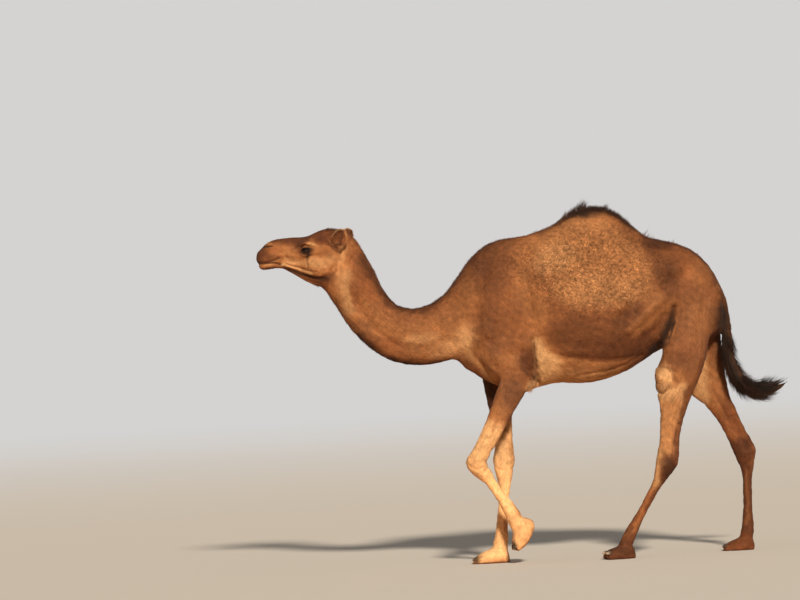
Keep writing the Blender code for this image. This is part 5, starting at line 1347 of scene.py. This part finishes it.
class CAMEL_OT_coat(bpy.types.Operator):
    """Covers the skin in short tufts that lie along the body, smallest on the face and feet"""
    bl_idname = "camel.coat"
    bl_label = "Short coat"

    def execute(self, context):
        pelt = pelt_of("skin")
        sizes = settings_of(context, "coat")

        def head(places):
            return soft(beyond_graft(places), -0.010, 0.010)

        def neck(places):
            return (1 - head(places)) * (1 - soft(places[:, 0], -0.47, -0.44)) * (places[:, 2] > 1.0)

        def leg(places):
            return (1 - soft(places[:, 2], 1.03, 1.06)) * (places[:, 0] < 1.40)

        def trunk(places):
            high = soft(places[:, 2], 1.02, 1.05)
            return (1 - head(places)) * (1 - neck(places)) * high * (places[:, 0] < 1.40)

        for side, hand in HANDS:
            short_coat(pelt, f"coat_trunk_{hand}", sizes.trunk_tufts,
                       lambda p, n: trunk(p) * (p[:, 1] * side > 0) * (1 - 0.55 * woolliness(p)),
                       lambda p: 0.020, lambda p: 0.0030, 0.075, 51 + side)
        short_coat(pelt, "coat_neck", sizes.neck_tufts, lambda p, n: neck(p),
                   lambda p: 0.019, lambda p: 0.0028, 0.075, 54)
        for legs, low, high in (("fore", -1.0, 0.3), ("hind", 0.3, 2.0)):
            short_coat(pelt, f"coat_{legs}legs", sizes.leg_tufts,
                       lambda p, n: (leg(p) * (p[:, 0] > low) * (p[:, 0] <= high)
                                     * (1.8 - soft(p[:, 2], 0.1, 0.7))),
                       lambda p: 0.008 + 0.009 * soft(p[:, 2], 0.10, 1.0),
                       lambda p: 0.0017 + 0.0011 * soft(p[:, 2], 0.10, 1.0), 0.07, 57 + int(low < 0))
        short_coat(pelt, "coat_head", sizes.head_tufts,
                   lambda p, n: head(p) * (1 + soft(-p[:, 0], 1.15, 1.45)),
                   lambda p: 0.0135 - 0.0075 * soft(-p[:, 0], 1.08, 1.42),
                   lambda p: 0.0021 - 0.0009 * soft(-p[:, 0], 1.08, 1.42), 0.08, 61)
        return {"FINISHED"}


class CAMEL_OT_wool(bpy.types.Operator):
    """Curls of sun-bleached wool on the hump's sides and the upper flanks"""
    bl_idname = "camel.wool"
    bl_label = "Wool"

    def execute(self, context):
        pelt = pelt_of("skin")
        count = settings_of(context, "coat").wool_curls
        for side, hand in HANDS:
            rng = np.random.default_rng(71 + side)
            roots, out = pelt.scatter(count, lambda p, n: woolliness(p) ** 1.5 * (p[:, 1] * side > 0),
                                      73 + side)
            along, across = combed(roots, out, rng, 0.6)
            long = rng.uniform(0.014, 0.026, count)
            turn = rng.uniform(1.0, 2.6, count) * rng.choice([-1, 1], count)
            t = np.linspace(0, 1, 4)[None]
            forward = long[:, None] * np.sin(turn[:, None] * t) / turn[:, None]
            aside = long[:, None] * (1 - np.cos(turn[:, None] * t)) / turn[:, None]
            height = rng.uniform(0.004, 0.009, count)[:, None] * np.sin(np.pi * np.clip(t * 0.9, 0, 1))
            height = height - 0.001 * (t == 0)
            spines = roots[:, None] + along[:, None] * forward[..., None]
            spines = spines + across[:, None] * aside[..., None] + out[:, None] * height[..., None]
            heading = unit(np.gradient(spines, axis=1)[:, 1:-1])
            wide = rng.uniform(0.0020, 0.0034, count)[:, None] * np.array([0.9, 0.8])
            lot = rng.uniform(0, 1, count)
            tones = rng.uniform(0.78, 1.25, count)
            tones = tones * np.where(lot < 0.20, 0.42, np.where(lot > 0.84, 1.60, 1.0))
            colours = toned(coat_colour(roots), tones, 4, 0.66, 1.12)
            solid_locks(f"wool_{hand}", spines, np.cross(heading, out[:, None]), out[:, None],
                        wide / 2, wide * 0.35, colours, pelt.patches(roots),
                        tuft_material("wool_hair", 0.08, 0.80), turn=0.7)
        return {"FINISHED"}


# ---------------------------------------------------------------- long hair
def hairs(name, roots, ways, bend, length, width, colours, uv):
    """Fine closed hairs that leave their roots one way and bend towards another."""
    stations = colours.shape[1]
    t = np.linspace(0, 1, stations)[None, :, None]
    spines = roots[:, None] + length[:, None, None] * (ways[:, None] * t + bend[:, None] * t**2 * 0.5)
    heading = unit(np.gradient(spines, axis=1))
    level = np.cross(heading, np.array((0.13, 0.31, 0.94)))
    across = unit(level)[:, 1:-1]
    up = np.cross(across, heading[:, 1:-1])
    taper = (1 - np.linspace(0, 1, stations)[1:-1] ** 1.6) * 0.9 + 0.1
    half = width[:, None] / 2 * taper[None]
    return solid_locks(name, spines, across, up, half, half * 1.4, colours, uv, long_hair())


def long_hair():
    return tuft_material("long_hair", 0.06, 0.55)


# Tufts that stand out of the crest: where along the back, how far to either side, and how much longer.
SPIKES = (
    (0.380, 0.020, 0.075), (0.325, 0.050, 0.030), (0.275, 0.016, 0.018), (0.515, 0.012, 0.022),
    (0.752, 0.013, 0.055), (0.790, 0.020, 0.016), (0.640, 0.012, 0.010), (0.150, 0.020, 0.014),
    (0.100, 0.014, 0.012), (0.905, 0.016, 0.018), (-0.180, 0.030, 0.008),
)


class CAMEL_OT_crest(bpy.types.Operator):
    """Erect dark hair along the back, thickest on the hump's top, with a few longer spikes"""
    bl_idname = "camel.crest"
    bl_label = "Crest"

    def execute(self, context):
        pelt = pelt_of("skin")
        sizes = settings_of(context, "hair")
        count = sizes.crest_hairs
        rng = np.random.default_rng(81)

        def wanted(p, n):
            ridge = 1 - soft(from_line(p, BACK_LINE), 0.012, 0.034)
            ridge = ridge * (1 - soft(np.abs(p[:, 1]), 0.035, 0.075))
            hump = soft(p[:, 0], 0.14, 0.26) * (1 - soft(p[:, 0], 0.66, 0.76))
            return ridge * (0.16 + hump) * (n[:, 2] > 0.1)

        roots, out = pelt.scatter(count, wanted, 82)
        x = roots[:, 0]
        hump = soft(x, 0.16, 0.30) * (1 - soft(x, 0.55, 0.72))
        long = 0.010 + (sizes.crest_length - 0.010) * hump
        for at, reach, more in SPIKES:
            long = long + more * np.exp(-(((x - at) / reach) ** 2)) * np.exp(-((roots[:, 1] / 0.022) ** 2))
        long = long * rng.uniform(0.55, 1.15, count)
        long = np.minimum(long, (CAD_BOX[1].z + 0.052 - roots[:, 2]) / 0.95)
        ways = unit(out * 0.8 + np.array((0.45, 0.0, 0.55)) + rng.normal(0, 0.16, (count, 3)))
        bend = np.array((0.35, 0.0, -0.12)) + rng.normal(0, 0.22, (count, 3))
        palette = settings_of(context, "markings")
        dark = np.array(palette.black) * 0.7 + np.array(palette.dark) * 0.3
        share = (0.35 + 0.55 * hump)[:, None]
        base = coat_colour(roots) * (1 - share) + dark * share
        colours = toned(base, rng.uniform(0.7, 1.4, count), 5, 0.8, 1.2)
        hairs("crest_hair", roots - out * 0.001, ways, bend, long, rng.uniform(0.0016, 0.0028, count),
              colours, pelt.patches(roots))
        return {"FINISHED"}


def along_tail(share):
    """Points on the tail's middle line at these shares of its length, and the line's direction there."""
    middle = np.array([(x, 0.0, z) for x, z in TAIL_LINE])
    steps = np.linalg.norm(np.diff(middle, axis=0), axis=1)
    at = np.concatenate([[0], np.cumsum(steps)]) / steps.sum()
    nearby = 0.02

    def on_line(where):
        return np.stack([np.interp(where, at, middle[:, k]) for k in range(3)], axis=-1)

    over = np.clip(share - 1, 0, None)[..., None] * steps.sum()
    way = unit(on_line(share + nearby) - on_line(share - nearby) + 1e-9)
    return on_line(share) + over * unit(middle[-1] - middle[-2]), way


class CAMEL_OT_fringes(bpy.types.Operator):
    """Short standing hair along the neck's top and withers, and the pale fringe behind each elbow"""
    bl_idname = "camel.fringes"
    bl_label = "Fringes"

    def execute(self, context):
        pelt = pelt_of("skin")
        count = settings_of(context, "hair").fringe_hairs
        rng = np.random.default_rng(121)

        def along_top(p, n):
            on_top = (1 - soft(np.abs(n[:, 1]), 0.30, 0.50)) * soft(n[:, 2], 0.10, 0.30)
            on_neck = on_top * soft(p[:, 0], -1.02, -0.98) * (1 - soft(p[:, 0], -0.14, -0.04))
            return on_neck * (p[:, 2] > 1.45)

        roots, out = pelt.scatter(count, along_top, 122)
        along, _ = combed(roots, out, rng, 0.3)
        ways = unit(along * 0.75 + out * 0.65 + rng.normal(0, 0.16, (count, 3)))
        bend = along * 0.4 + rng.normal(0, 0.25, (count, 3))
        hairs("neck_fringe", roots, ways, bend, rng.uniform(0.007, 0.015, count),
              rng.uniform(0.0010, 0.0017, count),
              toned(coat_colour(roots), rng.uniform(0.6, 1.15, count), 4), pelt.patches(roots))

        def elbow(p, n):
            away = np.linalg.norm((p[:, [0, 2]] - (0.030, 1.045)) / (1.0, 1.3), axis=1)
            return (1 - soft(away, 0.018, 0.034)) * (np.abs(p[:, 1]) > 0.10)

        count = count // 4
        roots, out = pelt.scatter(count, elbow, 123)
        down = np.array((0.35, 0.0, -0.85))
        ways = unit(down + out * 0.35 + rng.normal(0, 0.22, (count, 3)))
        bend = np.array((0.25, 0.0, -0.35)) + rng.normal(0, 0.35, (count, 3))
        palette = settings_of(context, "markings")
        pale = coat_colour(roots) * 0.5 + np.array(palette.cream) * 0.5
        hairs("elbow_fringe", roots, ways, bend, rng.uniform(0.014, 0.034, count),
              rng.uniform(0.0012, 0.0020, count), toned(pale, rng.uniform(0.6, 1.2, count), 5),
              pelt.patches(roots))
        return {"FINISHED"}


class CAMEL_OT_tail(bpy.types.Operator):
    """The tail's long black hair, gathered in locks that part at their ends"""
    bl_idname = "camel.tail"
    bl_label = "Tail hair"

    def execute(self, context):
        pelt = pelt_of("skin")
        sizes = settings_of(context, "hair")
        count, locks = sizes.tail_hairs, sizes.tail_locks
        rng = np.random.default_rng(91)
        lock = rng.integers(0, locks, count)

        def shared(low, high):
            """One random value for each lock, given to all its hairs."""
            return rng.uniform(low, high, locks)[lock]

        angle = shared(0, 2 * np.pi) + rng.normal(0, 0.22, count)
        begin = np.clip(shared(0.02, 0.66) + rng.uniform(-0.04, 0.04, count), 0.01, 0.70)
        reach = np.minimum(shared(0.22, 0.40) * rng.uniform(0.7, 1.1, count), 1.0 - begin)
        stations = 7
        t = np.linspace(0, 1, stations)
        share = begin[:, None] + reach[:, None] * t
        centre, way = along_tail(share)
        thick = np.interp(share, (0.0, 0.22, 0.45, 0.66, 0.82, 1.0),
                          (0.022, 0.021, 0.027, 0.040, 0.034, 0.020))
        loose = (0.55 + 0.45 * t[None] + (t**3)[None] * shared(-0.2, 1.3)[:, None])
        side = np.broadcast_to(np.array((0.0, 1.0, 0.0)), centre.shape)
        upward = np.cross(way, side)
        wave = angle[:, None] + shared(-0.7, 0.7)[:, None] * t
        aside = ((np.cos(wave) * thick * loose * 0.8)[..., None] * side
                 + (np.sin(wave) * thick * loose)[..., None] * upward)
        curl = np.stack([shared(-0.024, 0.024), shared(-0.024, 0.024), shared(-0.044, 0.026)], axis=1)
        strays = rng.normal(0, 1, (count, 1, 3)) * (0.0014 + 0.0075 * t**2)[None, :, None]
        spines = centre + aside + curl[:, None] * (t**2.5)[None, :, None] + strays
        last = CAD_BOX[1].x + 0.030 - 0.05 * rng.uniform(0, 1, (count, 1)) ** 2
        spines[..., 0] = np.minimum(spines[..., 0], last)
        heading = unit(np.gradient(spines, axis=1))[:, 1:-1]
        across = unit(np.cross(heading, np.array((0.2, 0.9, 0.3))))
        half = rng.uniform(0.0009, 0.0016, count)[:, None] * (1 - t[1:-1] ** 2)[None] + 0.00030
        palette = settings_of(context, "markings")
        tones = shared(0.6, 1.5) * rng.uniform(0.7, 1.3, count)
        warm = shared(0, 1)[:, None] ** 2
        base = np.array(palette.black) * (1 - 0.30 * warm) + np.array(palette.dark) * 0.30 * warm
        colours = toned(base, tones, stations, 0.7, 1.3)
        solid_locks("tail_hair", spines, across, np.cross(across, heading), half, half * 1.4, colours,
                    pelt.patches(spines[:, 0]), long_hair())
        return {"FINISHED"}


# Where the face's longer hair grows: round the crown, and along these lines.
CROWN = np.array((-1.09, 0.0, 2.035))
SHAGGY = (
    line("nape", 0.35, 22, -1040, 2020, -940, 1900, -860, 1740, -800, 1620),
    line("throat", 0.5, 22, -1220, 1705, -1120, 1620, -1020, 1460, -900, 1310),
    line("chin", 0.4, 12, -1530, 1828, -1450, 1825),
)


class CAMEL_OT_face_hair(bpy.types.Operator):
    """Lashes, fringes of the ears, and the longer hair of crown, throat and chin"""
    bl_idname = "camel.face_hair"
    bl_label = "Face hair"

    def execute(self, context):
        pelt = pelt_of("skin")
        sizes = settings_of(context, "hair")
        palette = settings_of(context, "markings")
        for side, hand in HANDS:
            rng = np.random.default_rng(101 + side)
            eye = eye_of(side)
            count = sizes.lashes
            a = np.linspace(-0.97, 0.97, count) * LID_HALF + rng.normal(0, 0.0006, count)
            t = np.clip(np.abs(a) / LID_HALF, 0, 1)
            b = UPPER_LID * (1 - t**2) ** 0.75 + rng.uniform(0.0, 0.0022, count)
            c = np.sqrt(np.maximum((eye.radius + 0.0016) ** 2 - a**2 - b**2, 0.0))
            roots = eye.centre + a[:, None] * eye.along + b[:, None] * eye.up + c[:, None] * eye.gaze
            ways = unit(eye.gaze * 0.95 + eye.up * 0.10 + (a / LID_HALF * 0.5)[:, None] * eye.along
                        + rng.normal(0, 0.10, (count, 3)))
            bend = np.array((0.0, 0.0, -0.95)) + eye.up * 0.2 + rng.normal(0, 0.12, (count, 3))
            long = sizes.lash_length * (1 - 0.35 * t) * rng.uniform(0.7, 1.15, count)
            colours = toned(np.tile(np.array(palette.black), (count, 1)), rng.uniform(0.6, 1.2, count), 5)
            hairs(f"lashes_{hand}", roots, ways, bend, long, np.full(count, 0.0009), colours,
                  pelt.patches(roots))

            def rim(p, n):
                ear = on_ears(p) * (p[:, 1] * side > 0)
                edge = np.abs(n @ np.array((-0.42, side * 0.90, 0.02))) < 0.55
                return ear * edge

            count = sizes.ear_hairs
            roots, out = pelt.scatter(count, rim, 105 + side)
            lie = np.array((0.30, side * 0.22, 0.90))
            ways = unit(out * 0.55 + lie * 0.8 + rng.normal(0, 0.15, (count, 3)))
            bend = lie * 0.5 + rng.normal(0, 0.2, (count, 3))
            tones = rng.uniform(0.7, 1.3, count)
            base = np.array(palette.cream) * 0.45 + coat_colour(roots) * 0.55
            hairs(f"ear_fringe_{hand}", roots, ways, bend, rng.uniform(0.005, 0.010, count),
                  np.full(count, 0.0008), toned(base, tones, 4), pelt.patches(roots))
        rng = np.random.default_rng(111)
        count = sizes.face_hairs

        def shaggy(p, n):
            crown = (1 - soft(np.linalg.norm(p - CROWN, axis=1), 0.03, 0.075)) * 0.9
            return sum((strip.amount * reach_of(strip, p) for strip in SHAGGY), crown)

        roots, out = pelt.scatter(count, shaggy, 112)
        along, _ = combed(roots, out, rng, 0.35)
        crown = 1 - soft(np.linalg.norm(roots - CROWN, axis=1), 0.05, 0.10)
        ways = unit(along + out * (0.35 + 0.35 * crown)[:, None] + rng.normal(0, 0.12, (count, 3)))
        bend = along * 0.5 + rng.normal(0, 0.3, (count, 3))
        long = rng.uniform(0.010, 0.020, count) * (1 - 0.45 * soft(-roots[:, 0], 1.30, 1.45))
        hairs("crown_and_throat_hair", roots, ways, bend, long, rng.uniform(0.0012, 0.0020, count),
              toned(coat_colour(roots), rng.uniform(0.65, 1.2, count), 5), pelt.patches(roots))
        return {"FINISHED"}


# ---------------------------------------------------------------- eyes and nails
class CAMEL_OT_eyes(bpy.types.Operator):
    """Wet dark eyeballs with a brown iris and a wide, level pupil under a raised cornea"""
    bl_idname = "camel.eyes"
    bl_label = "Eyes"

    def execute(self, context):
        for side, hand in HANDS:
            eye = eye_of(side)
            bpy.ops.object.select_all(action="DESELECT")
            bpy.ops.mesh.primitive_uv_sphere_add(segments=48, ring_count=32, radius=eye.radius,
                                                 location=(0, 0, 0))
            ball = bpy.context.view_layer.objects.active
            ball.name = f"eyeball_{hand}"
            ball.data.name = ball.name
            turn = Matrix((eye.along, eye.up, eye.gaze)).transposed()
            ball.data.transform(Matrix.Translation(eye.centre) @ turn.to_4x4())
            away = places_of(ball.data) - eye.centre
            a, b, c = away @ eye.along, away @ eye.up, away @ eye.gaze
            tilt = np.arctan2(np.hypot(a, b), c)
            bulge = CORNEA * (1 - soft(tilt, 0.35, 0.75))
            set_places(ball.data, eye.centre + away * (1 + bulge / eye.radius)[:, None])
            store(ball.data, "from_pupil", np.hypot(a / 1.75, b) / eye.radius + (c < 0))
            store(ball.data, "from_iris", tilt)
            ball.data.shade_smooth()
            ball.data.materials.append(eye_material())
            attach(ball, "root")
            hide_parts(f"eye_{hand}")
        return {"FINISHED"}


def eye_material():
    found = bpy.data.materials.get("wet_eye")
    if found:
        return found
    material, tree, shader = principled("wet_eye", roughness=0.12, coat=0.12, specular=0.20)
    pupil = ramp(tree, attribute(tree, "from_pupil"), "pupil to iris",
                 (0.20, (0.002, 0.002, 0.003)), (0.27, (0.010, 0.0045, 0.002)))
    rim = ramp(tree, attribute(tree, "from_iris"), "iris to rim",
               (0.62, (1, 1, 1)), (0.80, (0.25, 0.22, 0.20)))
    both = add_node(tree, "Mix", "eye colour", data_type="RGBA", blend_type="MULTIPLY")
    both.inputs[0].default_value = 1.0
    tree.links.new(pupil, both.inputs[6])
    tree.links.new(rim, both.inputs[7])
    tree.links.new(both.outputs[2], shader.inputs["Base Color"])
    return material


class CAMEL_OT_nails(bpy.types.Operator):
    """Rounded horn nails, ridged along their growth and stained at the root"""
    bl_idname = "camel.nails"
    bl_label = "Nails"

    def execute(self, context):
        for node in NAILS:
            nail = fleshed(node.replace("nail", "horn"), [node])
            set_places(nail.data, places_of(nail.data) + normals_of(nail.data) * HORN)
            modify(nail, "SUBSURF", levels=3, render_levels=3)
            places, normals = places_of(nail.data), normals_of(nail.data)
            centre = (places.max(axis=0) + places.min(axis=0)) / 2
            ahead = unit(np.array(toe_way(node)))
            forward = (places - centre) @ ahead
            reach = forward / np.abs(forward).max()
            level = unit(np.cross(ahead, np.array((0.0, 1.0, 0.0))))
            aside, above = places[:, 1] - centre[1], (places - centre) @ level
            slimmer = 1 - 0.42 * np.clip(reach + 0.25, 0, 1.25) ** 1.5
            places[:, 1] = centre[1] + aside * slimmer
            places -= level * (above * (0.30 + 0.24 * np.clip(reach + 0.2, 0, 1) ** 1.5))[:, None]
            places -= ahead * (0.003 if "fore" in node else 0.005) + level * 0.001
            ridges = np.sin(forward * 2 * np.pi / RIDGE_SPACING) * RIDGE_HEIGHT
            places += normals * ridges[:, None]
            places[:, 2] = np.maximum(places[:, 2], 0.0004)
            set_places(nail.data, places)
            start, end = NAIL_TIPS[node[5:-6]]
            store(nail.data, "to_tip", soft(reach, start, end))
            nail.data.shade_smooth()
            nail.data.materials.append(horn_material())
            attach(nail, "root")
            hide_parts(node)
        return {"FINISHED"}


def toe_way(node):
    """The direction in which a foot's toes point."""
    if "fore_left" in node:
        return (-0.50, 0.0, -0.87)
    return (-1.0, 0.0, 0.0)


def horn_material():
    found = bpy.data.materials.get("worn_horn")
    if found:
        return found
    material, tree, shader = principled("worn_horn", roughness=0.42, specular=0.45)
    grain = noise(tree, object_place(tree), 240.0, 5.0, (0.25, 1.0, 1.0), "growth lines")
    grown = math_node(tree, "MULTIPLY", attribute(tree, "to_tip"), 0.75)
    tone = math_node(tree, "MULTIPLY_ADD", grain, 0.30, grown)
    colour = ramp(tree, tone, "root to tip", (0.10, (0.030, 0.021, 0.016)), (0.75, (0.46, 0.37, 0.26)),
                  (0.38, (0.20, 0.135, 0.085)))
    tree.links.new(colour, shader.inputs["Base Color"])
    raised(tree, shader, grain, 0.35, 0.001)
    return material


# ---------------------------------------------------------------- stage
class CAMEL_OT_stage(bpy.types.Operator):
    """Pale floor, warm key light, soft fill and the camera"""
    bl_idname = "camel.stage"
    bl_label = "Stage"

    def execute(self, context):
        stage = settings_of(context, "stage")
        bpy.ops.object.select_all(action="DESELECT")
        bpy.ops.mesh.primitive_plane_add(size=400.0, location=(0, 0, 0))
        floor = context.view_layer.objects.active
        floor.name = "floor"
        floor.data.materials.append(floor_material(stage.floor_colour))

        self.add_sun("key_light", stage.sun_power, (1.0, 0.88, 0.72), 6, (-0.14, 0.87, -0.47))
        self.add_sun("fill_light", 0.16, (1.0, 0.95, 0.90), 60, (0.75, 0.25, -0.60))
        self.surround(context, stage.sky_power)
        context.scene.view_settings.view_transform = "Standard"
        self.add_camera(context, stage)
        return {"FINISHED"}

    def add_sun(self, name, power, colour, spread, way):
        """A light that shines this way, softened by its spread in degrees."""
        light = bpy.data.lights.new(name, "SUN")
        light.energy = power
        light.color = colour
        light.angle = math.radians(spread)
        lamp = bpy.data.objects.new(name, light)
        bpy.context.scene.collection.objects.link(lamp)
        lamp.location = Vector(way) * -10
        lamp.rotation_euler = Vector(way).to_track_quat("-Z", "Y").to_euler()

    def surround(self, context, power):
        """Pale light from all around, and the plain backdrop that the camera sees instead of it."""
        world = bpy.data.worlds.new("surroundings")
        context.scene.world = world
        world.use_nodes = True
        tree = world.node_tree
        around = tree.nodes["Background"]
        around.inputs["Color"].default_value = (1.0, 0.95, 0.89, 1)
        around.inputs["Strength"].default_value = power
        backdrop = add_node(tree, "Background")
        backdrop.inputs["Color"].default_value = (*BACKDROP, 1)
        either = add_node(tree, "MixShader")
        tree.links.new(add_node(tree, "LightPath").outputs["Is Camera Ray"], either.inputs[0])
        tree.links.new(around.outputs[0], either.inputs[1])
        tree.links.new(backdrop.outputs[0], either.inputs[2])
        tree.links.new(either.outputs[0], tree.nodes["World Output"].inputs["Surface"])

    def add_camera(self, context, stage):
        """Level with the shoulder, square to the side, and rolled: the floor rises towards the tail."""
        lens = bpy.data.cameras.new("camera")
        lens.sensor_width = 36.0
        lens.lens = lens.sensor_width / stage.picture_width * stage.camera_distance
        lens.clip_end = 500
        camera = bpy.data.objects.new("camera", lens)
        context.scene.collection.objects.link(camera)
        c, s = math.cos(stage.roll), math.sin(stage.roll)
        turn = Matrix(((c, s, 0), (0, 0, -1), (-s, c, 0)))
        camera.matrix_world = Matrix.Translation(
            (CAMERA_X, -stage.camera_distance, stage.camera_height)) @ turn.to_4x4()
        context.scene.camera = camera


def floor_material(colour):
    """Pale near the camel, fading into the backdrop far away; it throws back warm light, as sand does."""
    material, tree, shader = principled("pale_floor", roughness=0.95, specular=0.1)
    light = add_node(tree, "LightPath")
    seen = add_node(tree, "Mix", "seen or lighting", data_type="RGBA")
    tree.links.new(light.outputs["Is Camera Ray"], seen.inputs[0])
    seen.inputs[6].default_value = (colour[0] * 1.10, colour[1] * 0.74, colour[2] * 0.50, 1)
    seen.inputs[7].default_value = (*colour, 1)
    tree.links.new(seen.outputs[2], shader.inputs["Base Color"])
    place = add_node(tree, "VectorMath", "distance", operation="LENGTH")
    tree.links.new(object_place(tree), place.inputs[0])
    far = map_range(tree, place.outputs["Value"], (4.0, 38.0), (0.0, 1.0), "far",
                    interpolation_type="SMOOTHSTEP")
    glow = add_node(tree, "Emission", "backdrop")
    glow.inputs["Color"].default_value = (*BACKDROP, 1)
    both = add_node(tree, "MixShader", "near or far")
    tree.links.new(far, both.inputs[0])
    tree.links.new(shader.outputs[0], both.inputs[1])
    tree.links.new(glow.outputs[0], both.inputs[2])
    tree.links.new(both.outputs[0], tree.nodes["Material Output"].inputs["Surface"])
    return material


# ---------------------------------------------------------------- add-on
SETTINGS = {
    "skin": SkinSettings, "markings": MarkingSettings, "coat": CoatSettings, "hair": HairSettings,
    "stage": StageSettings,
}
STEPS = (CAMEL_OT_skin, CAMEL_OT_eyes, CAMEL_OT_nails, CAMEL_OT_coat, CAMEL_OT_wool, CAMEL_OT_crest,
         CAMEL_OT_fringes, CAMEL_OT_tail, CAMEL_OT_face_hair, CAMEL_OT_stage)


class CAMEL_PT_panel(bpy.types.Panel):
    """Lists the camel's settings and the steps that build it"""
    bl_label = "Camel"
    bl_idname = "CAMEL_PT_panel"
    bl_space_type = "VIEW_3D"
    bl_region_type = "UI"
    bl_category = "Camel"

    def draw(self, context):
        for name, group in SETTINGS.items():
            box = self.layout.box()
            box.label(text=name.title())
            for setting in group.__annotations__:
                box.prop(settings_of(context, name), setting)
        for step in STEPS:
            self.layout.operator(step.bl_idname)


def register():
    for made in (*SETTINGS.values(), *STEPS, CAMEL_PT_panel):
        bpy.utils.register_class(made)
    for name, group in SETTINGS.items():
        setattr(bpy.types.Scene, "camel_" + name, PointerProperty(type=group))


def unregister():
    for name in SETTINGS:
        delattr(bpy.types.Scene, "camel_" + name)
    for made in reversed((*SETTINGS.values(), *STEPS, CAMEL_PT_panel)):
        bpy.utils.unregister_class(made)


def main():
    register()
    for step in STEPS:
        family, name = step.bl_idname.split(".")
        getattr(getattr(bpy.ops, family), name)()


if __name__ == "__main__":
    main()
